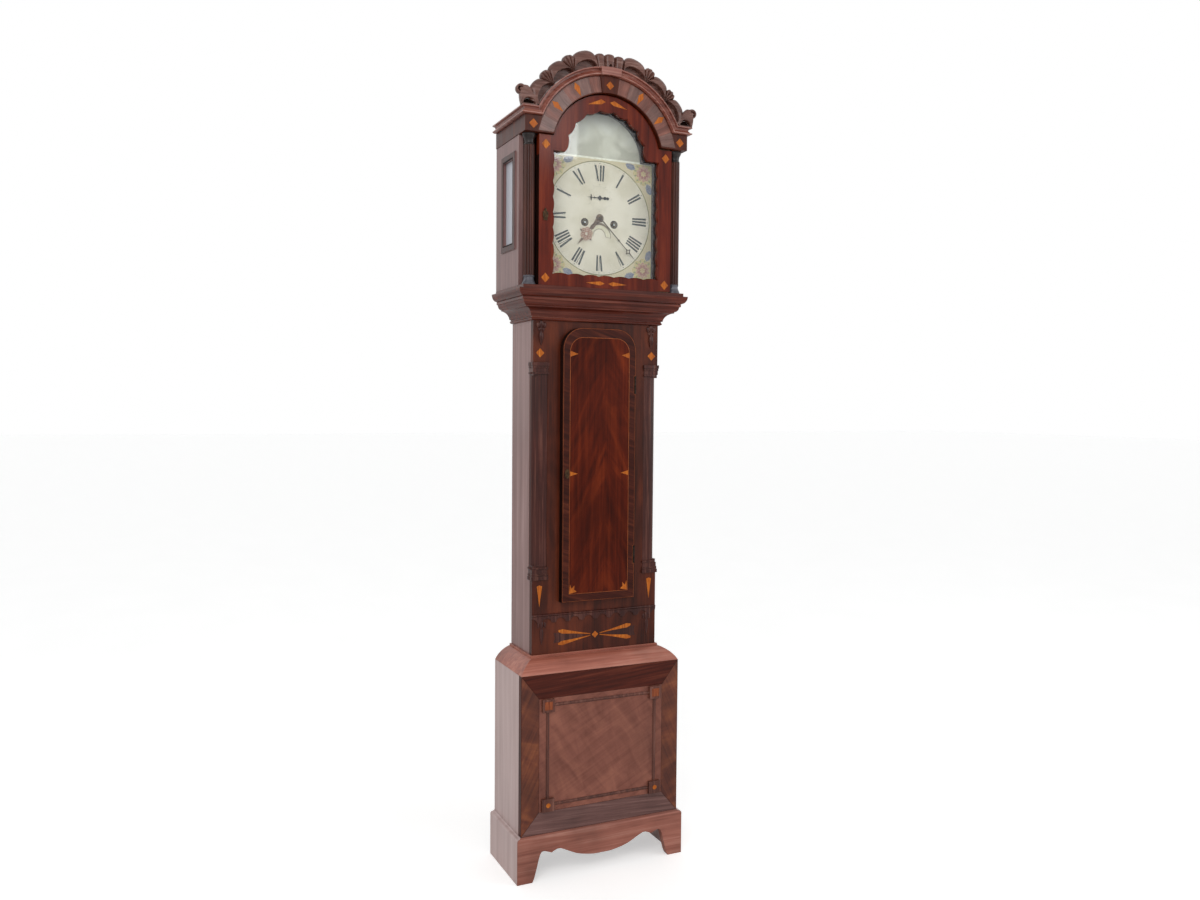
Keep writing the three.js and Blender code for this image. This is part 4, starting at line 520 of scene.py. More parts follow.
# Polished fronts, deep red-brown, with a mottle where the log was figured
MAHOGANY_FRONT = PolishedWood(
    "french_polished_mahogany", "#502011", "#2a0f08", "#78381f", figure=Figure.MOTTLED,
    polish=0.1, gloss=0.16)
MAHOGANY_DOOR = PolishedWood(
    "red_mahogany_hood_door", "#682110", "#471309", "#87381d", stripe_mm=14, cloud=0.4,
    polish=0.35, gloss=0.02, roughness=0.3)
FLAME_SOLID = PolishedWood(
    "flame_mahogany_board", "#48190e", "#290c06", "#71351c", figure=Figure.MOTTLED, polish=0.1,
    gloss=0.1)
DARK_MAHOGANY = PolishedWood(
    "dark_polished_mahogany", "#48201a", "#2a100b", "#7d5042", polish=0.14, gloss=0.2)
BEAD_MAHOGANY = PolishedWood(
    "rubbed_bead_mahogany", "#683b2f", "#43211a", "#96685a", polish=0.14, gloss=0.25)
REEDED_MAHOGANY = PolishedWood(
    "reeded_mahogany", "#4a1f12", "#280d08", "#7d4630", polish=0.14, gloss=0.2)
# Near-black wood: painted shade on door edges, the hood mask and window rebates, and the real dark
# lines of veneer joints
SHADED_EDGE = PolishedWood(
    "unpolished_door_edge", "#220e0a", "#150806", "#3a1d16", polish=0, gloss=0.1, roughness=0.6)
# Veneers, whose grain follows the cut of each leaf
veneer = partial(PolishedWood, mapped=True, cloud=0.5)
FLAME_VENEER = veneer(
    "flame_mahogany_veneer", "#591b09", "#2f0b05", "#823213", figure=Figure.FLAME, polish=0.1,
    gloss=0.06, cloud_mm=170)
BAND_VENEER = veneer(
    "crossbanded_mahogany_veneer", "#451a10", "#2c0f09", "#6b3421", cloud_mm=90, polish=0.1,
    gloss=0.1)
BORDER_RED = veneer(
    "red_border_veneer", "#6b3420", "#43180f", "#94532f", figure=Figure.MOTTLED, cloud_mm=120)
BORDER_DARK = veneer(
    "dark_border_veneer", "#552014", "#35110a", "#753a28", cloud_mm=160, polish=0.1, gloss=0.12)
# The lowest border is greyer, a painted sheen
BORDER_LOW = veneer("dusty_border_veneer", "#6e4b46", "#50322d", "#8d6861", cloud_mm=160, cloud=0.4)
PANEL_VENEER = veneer(
    "curl_mahogany_panel_veneer", "#865143", "#6b3c30", "#9c6350", figure=Figure.MOTTLED,
    stripe_mm=12, cloud_mm=200, cloud=0.4, gloss=0.2)
FRIEZE_VENEER = veneer(
    "grey_brown_frieze_veneer", "#755047", "#5a3932", "#997569", stripe_mm=12, cloud_mm=38,
    cloud=0.45, polish=0.4, roughness=0.28)
FRIEZE_RED = veneer(
    "red_frieze_veneer", "#7d493b", "#5c2f25", "#a06758", stripe_mm=12, cloud_mm=38,
    polish=0.3, roughness=0.28)
# Mouldings, carving and turning, glossy where they stand out, some lightened by painted sheen, with
# painted shade in their hollows
level_wood = partial(PolishedWood, grain=Grain.LEVEL)
MAHOGANY_MOULDING = level_wood(
    "mahogany_moulding_lengthwise", "#66291b", "#3f150d", "#955542", polish=0.16, gloss=0.2,
    roughness=0.32)
# The cornice's pale ground is partly painted sheen over the mahogany
MAHOGANY_CORNICE = level_wood(
    "mahogany_cornice_moulding", "#925142", "#6b3529", "#c09080", polish=0.3, gloss=0.5,
    roughness=0.3)
MAHOGANY_PALE = level_wood(
    "rubbed_mahogany_moulding", "#b26b58", "#8f4e3e", "#cc917e", stripe_mm=14, run_mm=380,
    polish=0.1)
MAHOGANY_PLINTH = level_wood(
    "rubbed_mahogany_plinth", "#a06252", "#7c473a", "#bf8a79", stripe_mm=14, run_mm=380)
CARVED_MAHOGANY = level_wood(
    "carved_mahogany", "#6e463b", "#4c2920", "#a07f76", stripe_mm=7, run_mm=90, polish=0.2)
# Hollows of the carving are near-black, painted shade
NICHE_WOOD = level_wood(
    "unpolished_niche", "#26140f", "#170b08", "#3f2a24", polish=0, gloss=0.05, roughness=0.7)
EBONISED = level_wood("ebonised_turned_wood", "#2a2120", "#171211", "#4f4644")
# The columns' feet are grey, a painted sheen over black ebonising
GREYED_EBONY = level_wood(
    "worn_ebonised_wood", "#63616a", "#38363b", "#a0a1aa", polish=0.08, roughness=0.45)
# Side boards, faded by the sun and lightened to a dull grey pink by painted sheen, palest on the
# base and darkest on the hood, and plain pine behind
faded_board = partial(
    PolishedWood, stripe_mm=20, run_mm=520, cloud_mm=420, cloud=0.25, roughness=0.42, polish=0.2)
FADED_SIDE = faded_board("sun_faded_mahogany_board", "#977571", "#7e5b55", "#b2938e")
HOOD_SIDE = faded_board("faded_hood_side_board", "#846360", "#6c4b47", "#a1827d", cloud_mm=300)
PALE_SIDE = faded_board(
    "sun_bleached_mahogany_board", "#c6aca8", "#b59994", "#d5c1bd", stripe_mm=22, cloud=0.2)
PINE = PolishedWood(
    "waxed_pine_board", "#966b4b", "#734c33", "#b18765", stripe_mm=11, run_mm=380,
    roughness=0.6, polish=0, cloud=0.5)
PINE_ROOF = replace(PINE, name="smoked_pine_roof_board", grain=Grain.FORE_AND_AFT)
# Inlay, fine-grained and bright orange against the mahogany
inlay = partial(PolishedWood, gloss=0.15, stripe_mm=4, run_mm=40, cloud_mm=25, cloud=0.3)
SATINWOOD = inlay("satinwood_inlay", "#bd641b", "#9a4a12", "#dc8d36")
SATINWOOD_LINE = inlay("satinwood_stringing", "#a8562a", "#84401d", "#c57a44", stripe_mm=2,
                       run_mm=25, cloud_mm=40, cloud=0.4)
TULIPWOOD = inlay("tulipwood_lozenge", "#924a2a", "#6f321b", "#b1663c")
# Clock metals, from bright filed brass to browned and blackened fittings
BRASS = CastMetal("lacquered_clock_brass", "#b8924a", "#7a5a2c")
OLD_BRASS = CastMetal("tarnished_cast_brass", "#55412f", "#2a221e", roughness=0.42, patch_mm=6)
PINK_BRASS = CastMetal(
    "pierced_gilt_brass", "#b98a7a", "#8a5c4e", roughness=0.4, metallic=0.7, patch_mm=9)
BROWNED_BRASS = CastMetal(
    "browned_hand_brass", "#7a6152", "#3f2e27", roughness=0.42, metallic=0.8, patch_mm=7)
BLACK_BRASS = CastMetal("blackened_hinge_brass", "#3a302a", "#1d1815", roughness=0.5, patch_mm=7)
STEEL = CastMetal("polished_clock_steel", "#9c9c9c", "#6a6866", roughness=0.28)
# The winding squares' pale, half-metallic steel is a painted glint
RUBBED_STEEL = CastMetal("key_rubbed_steel", "#d8d4cc", "#b3aea4", roughness=0.4, metallic=0.3)
BLUED_STEEL = CastMetal("blued_steel_hand", "#3c3a3c", "#232124", roughness=0.36, patch_mm=5)
LEAD = CastMetal("cast_lead_weight", "#6f7174", "#4a4b4d", roughness=0.58, patch_mm=26)
# The bell shows the rings of the lathe, which stand wider apart than file marks
BELL_METAL = CastMetal("bell_metal", "#a39a86", "#6e6656", roughness=0.3, marks_mm=0.4 / 0.35)
# Dial paints, matt and faded
DIAL_PAINT = PaintedDial("japanned_iron_dial")
INK = OilPaint("lamp_black_dial_paint", "#2b2c2f", "#434448", patch_mm=5)
GILT_LINE = OilPaint("bronze_green_dial_line", "#7a7350", "#9a946e", patch_mm=6)
WHITE_LINE = OilPaint("white_dial_border", "#eeeae0", "#dcd5c4")
ROSE = OilPaint("rose_dial_paint", "#b98a7e", "#c9a48d", patch_mm=4)
ROSE_DEEP = OilPaint("madder_dial_paint", "#9f6564", "#b78578", patch_mm=3)
OCHRE = OilPaint("pale_ochre_dial_paint", "#cbb985", "#bda680", patch_mm=5)
VIOLET = OilPaint("slate_dial_paint", "#70748a", "#8f8d98", patch_mm=6)
LEAF = OilPaint("sage_dial_paint", "#858c68", "#a19f7e", patch_mm=4)
# Painted shadow at the date slot
SHADOW_PAINT = OilPaint("brown_shade_dial_paint", "#6f5d50", "#8d7a69", patch_mm=8)
SLOT_PAINT = OilPaint("date_ring_paint", "#d8cfba", "#c9bda2", patch_mm=8)
# Glass, clear in the door and dusty at the sides, and the dull yellow gut
DOOR_GLASS = CrownGlass("hood_door_crown_glass", haze=0.02)
SIDE_GLASS = CrownGlass("side_window_crown_glass", tint="#e4e6ea", haze=0.8, dust="#c4c5cc")
GUT = OilPaint("twisted_gut_line", "#b59a66", "#8d7446", roughness=0.55, patch_mm=3)


# Outlines, as points across and up

def polar(radius: float, angle: float, centre: float = ARCH_CENTRE) -> Point:
    """Gives a point at an angle in degrees from upright, about a centre on the middle line."""
    turn = radians(angle)
    return radius * sin(turn), centre + radius * cos(turn)


def ring(radius: float, across: float = 0.0, height: float = 0.0, steps: int = 48) -> Outline:
    """Gives a circle."""
    return [(across + radius * cos(tau * step / steps),
             height + radius * sin(tau * step / steps)) for step in range(steps)]


def diamond(across: float, height: float, half: float, tall: float = 0.0) -> Outline:
    """Gives a diamond, which is as tall as it is wide unless it says so."""
    return [(across - half, height), (across, height - (tall or half)),
            (across + half, height), (across, height + (tall or half))]


def oblong(left: float, foot: float, right: float, head: float) -> Outline:
    """Gives an upright oblong."""
    return [(left, foot), (right, foot), (right, head), (left, head)]


def mirrored(outline: Outline, hand: int) -> Outline:
    """Gives an outline as it stands on the left (-1) or the right (1)."""
    return [(hand * across, height) for across, height in outline]


def swung(outline: Outline, angle: float, centre: Point) -> Outline:
    """Turns an outline clockwise, in degrees, about the origin, and moves it to a centre."""
    sine, cosine = sin(radians(angle)), cos(radians(angle))
    return [
        (centre[0] + x * cosine + z * sine, centre[1] - x * sine + z * cosine) for x, z in outline]


# Mesh helpers

def at(across: float, depth: float, height: float) -> Vector:
    """Gives the place, in metres, of a point that is given in millimetres."""
    return Vector((across, BACK_PLANE - depth, height)) * MM


def front_depth(node: str, across: float, height: float) -> float:
    """Finds how far forward a node's front face stands.

    Args:
        node: The node's name.
        across: The place across.
        height: The place above the floor.

    Returns:
        The depth of the first face met from the front.
    """
    hit, place, _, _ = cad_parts[node].ray_cast(at(across, 900, height), Vector((0, 1, 0)))
    if not hit:
        raise ValueError(f"{node} has no face at {across}, {height}")
    return BACK_PLANE - place.y / MM


def baked(carrier: bpy.types.Object) -> Mesh:
    """Bakes a carrier object and its modifiers into a plain mesh, and deletes the carrier.

    Args:
        carrier: A curve or mesh object that serves only to build the mesh.

    Returns:
        The plain mesh.
    """
    bpy.context.scene.collection.objects.link(carrier)
    bpy.context.view_layer.update()
    graph = bpy.context.evaluated_depsgraph_get()
    mesh = bpy.data.meshes.new_from_object(carrier.evaluated_get(graph), depsgraph=graph)
    carrier.modifiers.clear()
    bpy.data.objects.remove(carrier)
    return mesh


def finished(work: bmesh.types.BMesh, smooth: bool = False, crease: float = 0.0) -> Mesh:
    """Turns worked faces outwards and makes them a mesh.

    Args:
        work: The faces, which are freed.
        smooth: Whether they are shaded smooth.
        crease: The angle, in degrees, past which an edge stays sharp.

    Returns:
        The mesh.
    """
    bmesh.ops.recalc_face_normals(work, faces=work.faces)
    for face in work.faces:
        face.smooth = smooth
    mesh = bpy.data.meshes.new("worked")
    work.to_mesh(mesh)
    work.free()
    if crease:
        mesh.set_sharp_from_angle(angle=radians(crease))
    return mesh


def lofted(rows: Sequence[Sequence[Vector]], smooth: bool = False, crease: float = 0.0,
           hollow: bool = False) -> Mesh:
    """Joins closed rows of points into a tube with flat ends.

    Args:
        rows: The rows, each with the same number of points.
        smooth: Whether the tube is shaded smooth.
        crease: The angle, in degrees, past which an edge stays sharp.
        hollow: Whether its ends have hollow corners, and are cut into triangles.

    Returns:
        The closed mesh.
    """
    work = bmesh.new()
    loops = [[work.verts.new(place) for place in row] for row in rows]
    for before, after in zip(loops, loops[1:]):
        for here in range(len(before)):
            there = (here + 1) % len(before)
            work.faces.new((before[here], before[there], after[there], after[here]))
    ends = [work.faces.new(loops[0]), work.faces.new(loops[-1][::-1])]
    if hollow:
        bmesh.ops.triangulate(work, faces=ends)
    return finished(work, smooth, crease)


def plate(outlines: Sequence[Outline], back: float, front: float, rounding: float = 0.0,
          facing: Facing = Facing.FRONT) -> Mesh:
    """Cuts a flat plate with holes where outlines lie inside others.

    On a side, an outline runs forward and up, and the back and front are distances across.

    Args:
        outlines: Closed outlines.
        back: Depth of the back face.
        front: Depth of the front face.
        rounding: Radius of the plate's edges.
        facing: Which way the plate faces.

    Returns:
        The plate's mesh, in place.
    """
    flat = bpy.data.curves.new("plate", "CURVE")
    flat.dimensions, flat.fill_mode = "2D", "BOTH"
    flat.extrude = ((front - back) / 2 - rounding) * MM
    flat.bevel_depth, flat.offset = rounding * MM, -rounding * MM
    flat.bevel_resolution = 2
    for outline in outlines:
        spline = flat.splines.new("POLY")
        spline.points.add(len(outline) - 1)
        for point, (across, height) in zip(spline.points, outline):
            point.co = (across * MM, height * MM, 0, 1)
        spline.use_cyclic_u = True
    mesh = baked(bpy.data.objects.new("plate", flat))
    bpy.data.curves.remove(flat)
    upright = Matrix.Rotation(pi / 2, 4, "X")
    hand = facing.value
    if facing is Facing.FRONT:
        mesh.transform(Matrix.Translation(at(0, (front + back) / 2, 0)) @ upright)
        return mesh
    if facing is Facing.RIGHT:
        # Turned to the right, the outline's forward direction would run to the back
        mesh.transform(Matrix.Diagonal((-1, 1, 1, 1)))
        mesh.flip_normals()
    turn = Matrix.Rotation(hand * pi / 2, 4, "Z")
    mesh.transform(Matrix.Translation(at(hand * (front + back) / 2, 0, 0)) @ turn @ upright)
    return mesh


def laid(outlines: Sequence[Outline], face: float, top: float = INLAY,
         lift: float = 0.02) -> list[Mesh]:
    """Lays each outline on a face as a thin plate of its own, from lift to top above it."""
    return [plate([outline], face + lift, face + top) for outline in outlines]


def turned(profile: Sequence[Point], across: float, depth: float, steps: int = 48,
           flatness: float = 1.0) -> Mesh:
    """Turns a profile about an upright axis.

    Args:
        profile: Radius and height of each point, from the foot up.
        across: The axis's place across.
        depth: The axis's depth.
        steps: How many faces go round.
        flatness: Scale of the shape from back to front.

    Returns:
        The closed, smooth mesh.
    """
    turns = [tau * step / steps for step in range(steps)]
    return lofted([[at(across + radius * sin(turn), depth + flatness * radius * cos(turn),
                       height) for turn in turns] for radius, height in profile], True, 40)


def turned_boss(wide: float, narrow: float, back: float, front: float, height: float,
                across: float = 0.0) -> Mesh:
    """Turns a tapered boss with a bevelled end about an arbor from back to front.

    Args:
        wide: Radius at the back.
        narrow: Radius at the front.
        back: Depth of the back end.
        front: Depth of the front end.
        height: Height of the arbor.
        across: The arbor's place across.

    Returns:
        The closed mesh.
    """
    profile = ((wide, back), (wide, front - 1.4), (narrow + 0.5, front - 0.5), (narrow, front))
    return lofted([[at(x, depth, z) for x, z in ring(radius, across, height, 28)]
                   for radius, depth in profile])


def knob(across: float, depth: float, height: float, radii: Place) -> Mesh:
    """Carves a small knob, closed and smooth.

    Args:
        across: Its place across.
        depth: The depth of its middle.
        height: The height of its middle.
        radii: How far it reaches across, in depth and in height.

    Returns:
        The knob's mesh.
    """
    work = bmesh.new()
    size = Matrix.Diagonal((*(Vector(radii) * MM), 1))
    bmesh.ops.create_uvsphere(work, u_segments=20, v_segments=12, radius=1,
                              matrix=Matrix.Translation(at(across, depth, height)) @ size)
    return finished(work, True)


def map_veneer(mesh: Mesh, follow: Callable[[float, float], Point]) -> Mesh:
    """Gives a mesh its veneer map, along which the grain runs in its second direction.

    Args:
        mesh: The mesh, in place.
        follow: Turns a place across and up into one across and along the grain.

    Returns:
        The same mesh.
    """
    layer = mesh.uv_layers.new(name="veneer")
    for loop in mesh.loops:
        place = mesh.vertices[loop.vertex_index].co / MM
        layer.data[loop.index].uv = Vector(follow(place.x, place.z)) * MM
    return mesh


def leaning(angle: float, offset: float = 0.0) -> Callable[[float, float], Point]:
    """Gives the map of a veneer whose grain leans, cut from another part of the leaf."""
    sine, cosine = sin(radians(angle)), cos(radians(angle))
    return lambda x, z: (x * cosine - z * sine + offset, x * sine + z * cosine + offset)


def joined(meshes: Sequence[Mesh], smooth: bool) -> Mesh:
    """Joins meshes that are already in place into one, keeping their maps.

    Args:
        meshes: The meshes, which are deleted.
        smooth: Whether faces are shaded smooth.

    Returns:
        The joined mesh.
    """
    whole = bmesh.new()
    for mesh in meshes:
        whole.from_mesh(mesh)
        bpy.data.meshes.remove(mesh)
    for face in whole.faces:
        face.smooth = smooth
    made = bpy.data.meshes.new("joined")
    whole.to_mesh(made)
    whole.free()
    return made


def place_piece(name: str, shape: Union[Mesh, Sequence[Mesh]], finish: Finish, body: str,
                replaced: str = "", second: Optional[Finish] = None,
                smooth: bool = False) -> bpy.types.Object:
    """Puts a finished mesh into the scene as a piece that rides on a body.

    Args:
        name: The piece's name.
        shape: Its mesh, or the meshes that make it up, in place.
        finish: The finish that dresses it.
        body: The body that carries it.
        replaced: The CAD node that it stands for.
        second: The finish of the faces that carry material number 1.
        smooth: Whether joined meshes are shaded smooth.

    Returns:
        The piece.
    """
    mesh = shape if isinstance(shape, Mesh) else joined(shape, smooth)
    mesh.name = name
    mesh.materials.clear()
    for each in (finish, second):
        if each:
            mesh.materials.append(each.material())
    piece = bpy.data.objects.new(name, mesh)
    bpy.context.scene.collection.objects.link(piece)
    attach(piece, body)
    if replaced:
        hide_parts(replaced)
    LOG.info("%s rides on %s in %s", name, body, finish.name)
    return piece


def smoothed(node: str, finish: Finish, body: str) -> None:
    """Puts a smoothly shaded copy in place of a turned CAD node, with its creases kept.

    Args:
        node: The node.
        finish: Its finish.
        body: The body that it rides on.
    """
    work = bmesh.new()
    work.from_mesh(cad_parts[node].data)
    bmesh.ops.remove_doubles(work, verts=work.verts, dist=0.001 * MM)
    place_piece("polished_" + node, finished(work, True, 32), finish, body, node)


def dress(finish: Finish, *nodes: str) -> None:
    """Gives CAD nodes a finish in place of their plain one."""
    for node in nodes:
        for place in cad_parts[node].material_slots:
            place.material = finish.material()
        LOG.info("%s dressed in %s", node, finish.name)


# Geometry Nodes recipes

class Recipe:
    """A Geometry Nodes tree with named inputs, which ends in real geometry and a material."""

    def __init__(self, name: str, sizes: Mapping[str, float]) -> None:
        """Starts the tree.

        Args:
            name: The tree's name.
            sizes: Its named sizes and what they are when nothing else is given.
        """
        self.tree = bpy.data.node_groups.new(name, "GeometryNodeTree")
        new_socket = self.tree.interface.new_socket
        new_socket("Geometry", in_out="INPUT", socket_type="NodeSocketGeometry")
        for size, value in sizes.items():
            kind = "NodeSocketInt" if isinstance(value, int) else "NodeSocketFloat"
            new_socket(size, in_out="INPUT", socket_type=kind).default_value = value
        new_socket("Finish", in_out="INPUT", socket_type="NodeSocketMaterial")
        new_socket("Geometry", in_out="OUTPUT", socket_type="NodeSocketGeometry")
        self.add = partial(add_node, self.tree, "GeometryNode")
        self.given = self.tree.nodes.new("NodeGroupInput").outputs

    def rods(self, sides: int) -> Socket:
        """Stands a rod at each point of a ring, from the sizes Count, Ring, Rod and Length.

        Args:
            sides: How many faces go round a rod.

        Returns:
            The rods.
        """
        given = self.given
        track = self.add("MeshCircle", {"Vertices": given["Count"], "Radius": given["Ring"]})
        rod = self.add("MeshCylinder", {
            "Vertices": sides, "Radius": given["Rod"], "Depth": given["Length"]})
        return self.add("InstanceOnPoints", {"Points": track, "Instance": rod})

    def end(self, geometry: Socket, shift: Mapping[str, str], upright: bool) -> None:
        """Puts the geometry in its place, and ends the tree with its finish.

        Args:
            geometry: What the tree made, about the origin.
            shift: The size that moves it along each axis.
            upright: Whether it was made flat and has to stand up.
        """
        moved = add_node(self.tree, "ShaderNode", "CombineXYZ", {
            axis: self.given[size] for axis, size in shift.items()})
        placed = self.add(
            "Transform", {"Geometry": geometry, "Translation": moved,
                          "Rotation": (pi / 2 if upright else 0, 0, 0)})
        real = self.add("RealizeInstances", {"Geometry": placed})
        dressed = self.add("SetMaterial", {"Geometry": real, "Material": self.given["Finish"]})
        add_node(self.tree, "NodeGroup", "Output", {"Geometry": dressed})

    def grow(self, finish: Finish, values: Mapping[str, float],
             path: Optional[Mesh] = None) -> Mesh:
        """Runs the tree and bakes what it makes.

        Args:
            finish: The finish that goes on it.
            values: The tree's named sizes.
            path: A mesh for the tree to follow.

        Returns:
            The plain mesh.
        """
        seed = path or bpy.data.meshes.new("seed")
        carrier = bpy.data.objects.new("carrier", seed)
        modifier = carrier.modifiers.new(self.tree.name, "NODES")
        modifier.node_group = self.tree
        given = {**values, "Finish": finish.material()}
        for socket in self.tree.interface.items_tree:
            if socket.in_out == "INPUT" and socket.name in given:
                modifier[socket.identifier] = given[socket.name]
        made = baked(carrier)
        bpy.data.meshes.remove(seed)
        return made


@cache
def stringing_recipe() -> Recipe:
    """Makes the recipe of a thin line of inlay or paint that follows a path on the front.

    Returns:
        The recipe, whose path is a flat mesh of edges.
    """
    recipe = Recipe("stringing", {"Width": 1.2 * MM, "Thickness": 0.3 * MM, "Forward": 0.0})
    add, given = recipe.add, recipe.given
    path = add("MeshToCurve", {"Mesh": given["Geometry"]})
    level = add("SetCurveNormal", {"Curve": path}, mode="Z_UP")
    section = add("CurvePrimitiveQuadrilateral", {
        "Width": given["Width"], "Height": given["Thickness"]})
    strip = add("CurveToMesh", {"Curve": level, "Profile Curve": section, "Fill Caps": True})
    recipe.end(strip, {"Y": "Forward"}, upright=True)
    return recipe


def dotted_ring_recipe() -> Recipe:
    """Makes the recipe of a ring of small round marks, as on a dial's minute track.

    Returns:
        The recipe.
    """
    recipe = Recipe("dotted_ring", {
        "Count": 60, "Ring": 144 * MM, "Rod": 0.9 * MM, "Length": 0.2 * MM,
        "Forward": 0.0, "Height": 0.0})
    recipe.end(recipe.rods(10), {"Y": "Forward", "Z": "Height"}, upright=True)
    return recipe


def reeded_shaft_recipe() -> Recipe:
    """Makes the recipe of a column's shaft: a core with half-round reeds all round it.

    Returns:
        The recipe.
    """
    recipe = Recipe("reeded_shaft", {
        "Count": 14, "Ring": 12 * MM, "Rod": 2.6 * MM, "Length": 320 * MM,
        "Across": 0.0, "Forward": 0.0, "Height": 0.0})
    core = recipe.add("MeshCylinder", {
        "Vertices": 32, "Radius": recipe.given["Ring"], "Depth": recipe.given["Length"]})
    both = recipe.add("JoinGeometry", {"Geometry": [recipe.rods(16), core]})
    smooth = recipe.add("SetShadeSmooth", {"Geometry": both, "Shade Smooth": True})
    recipe.end(smooth, {"X": "Across", "Y": "Forward", "Z": "Height"}, upright=False)
    return recipe


def draw_line(outline: Outline, depth: float, width: float, finish: Finish,
              closed: bool = True, thickness: float = INLAY) -> Mesh:
    """Draws one thin line of inlay or paint on the front.

    Args:
        outline: The path.
        depth: Depth of the face that it lies on.
        width: The line's width.
        finish: Its finish.
        closed: Whether it ends where it starts.
        thickness: How far it is let in and stands out, together.

    Returns:
        The line's mesh, in place.
    """
    count = len(outline)
    path = bpy.data.meshes.new("path")
    path.from_pydata([(x * MM, z * MM, 0) for x, z in outline], [
        (step, (step + 1) % count) for step in range(count if closed else count - 1)], [])
    return stringing_recipe().grow(finish, {
        "Width": width * MM, "Thickness": thickness * MM,
        "Forward": (BACK_PLANE - depth) * MM}, path)


# The clock's sub-assemblies

@dataclass
class Studio:
    """The camera at the photograph's place, a pale floor and soft, level light."""

    lens: float = 30.216
    place: Place = (-1.1499, -2.5029, 1.2476)
    turns: tuple[tuple[float, str], ...] = ((-25.228, "Z"), (-2.516, "X"), (-0.461, "Y"), (90, "X"))
    floor_half: float = 40.0

    def build(self) -> None:
        """Sets up the camera, floor, world and lamps."""
        bpy.context.scene.view_settings.view_transform = "Standard"
        self._camera()
        self._floor()
        self._world()
        self._lamp("key_softbox", (-2.6, -3.4, 3.4), (0, 0, 1.2), (2.4, 2.4), 70)
        self._lamp("fill_softbox", (3.2, -2.6, 2.2), (0, 0, 1.1), (2, 2.6), 32)
        self._lamp("window_reflection", (1, -2.9, 2.82), (-0.13, -0.09, 1.96), (0.3, 0.4), 1.6)

    def _camera(self) -> None:
        """Places the camera as the photograph was taken."""
        data = bpy.data.cameras.new("photograph_view")
        data.lens = self.lens
        data.sensor_width = 36
        data.clip_end = 200
        pose = Matrix.Translation(self.place)
        for angle, axis in self.turns:
            pose @= Matrix.Rotation(radians(angle), 4, axis)
        camera = bpy.data.objects.new("photograph_view", data)
        camera.matrix_world = pose
        bpy.context.scene.collection.objects.link(camera)
        bpy.context.scene.camera = camera

    def _floor(self) -> None:
        """Lays the pale floor."""
        half = self.floor_half
        mesh = bpy.data.meshes.new("studio_floor")
        mesh.from_pydata(
            [(x, y, 0) for x, y in oblong(-half, -half, half, half)], [], [(0, 1, 2, 3)])
        mesh.materials.append(StudioFloor("painted_studio_floor").material())
        floor = bpy.data.objects.new("studio_floor", mesh)
        bpy.context.scene.collection.objects.link(floor)

    def _world(self) -> None:
        """Lights the scene evenly, and shows white behind the clock and in what it reflects."""
        world = bpy.data.worlds.new("even_daylight")
        bpy.context.scene.world = world
        world.use_nodes = True
        world.node_tree.nodes.clear()
        add = partial(add_node, world.node_tree, "ShaderNode")
        path = add("LightPath").node.outputs
        seen = path["Is Camera Ray"]
        for ray in ("Is Transmission Ray", "Is Glossy Ray"):
            seen = add("Math", {0: seen, 1: path[ray]}, operation="MAXIMUM")
        light = add("Background", {"Color": linear("#f4f6f8"), "Strength": 0.62})
        white = add("Background", {"Color": linear("#ffffff"), "Strength": 1})
        mixed = add("MixShader", {"Fac": seen, 1: light, 2: white})
        add("OutputWorld", {"Surface": mixed})

    def _lamp(self, name: str, place: Place, aim: Place, size: Point, power: float) -> None:
        """Hangs one softbox.

        Args:
            name: The lamp's name.
            place: Where it hangs, in metres.
            aim: The point that it faces.
            size: Its width and height.
            power: Its power in watts.
        """
        data = bpy.data.lights.new(name, "AREA")
        data.shape = "RECTANGLE"
        data.size, data.size_y = size
        data.energy = power
        lamp = bpy.data.objects.new(name, data)
        facing = (Vector(aim) - Vector(place)).to_track_quat("-Z", "Y")
        lamp.matrix_world = Matrix.Translation(place) @ facing.to_matrix().to_4x4()
        bpy.context.scene.collection.objects.link(lamp)


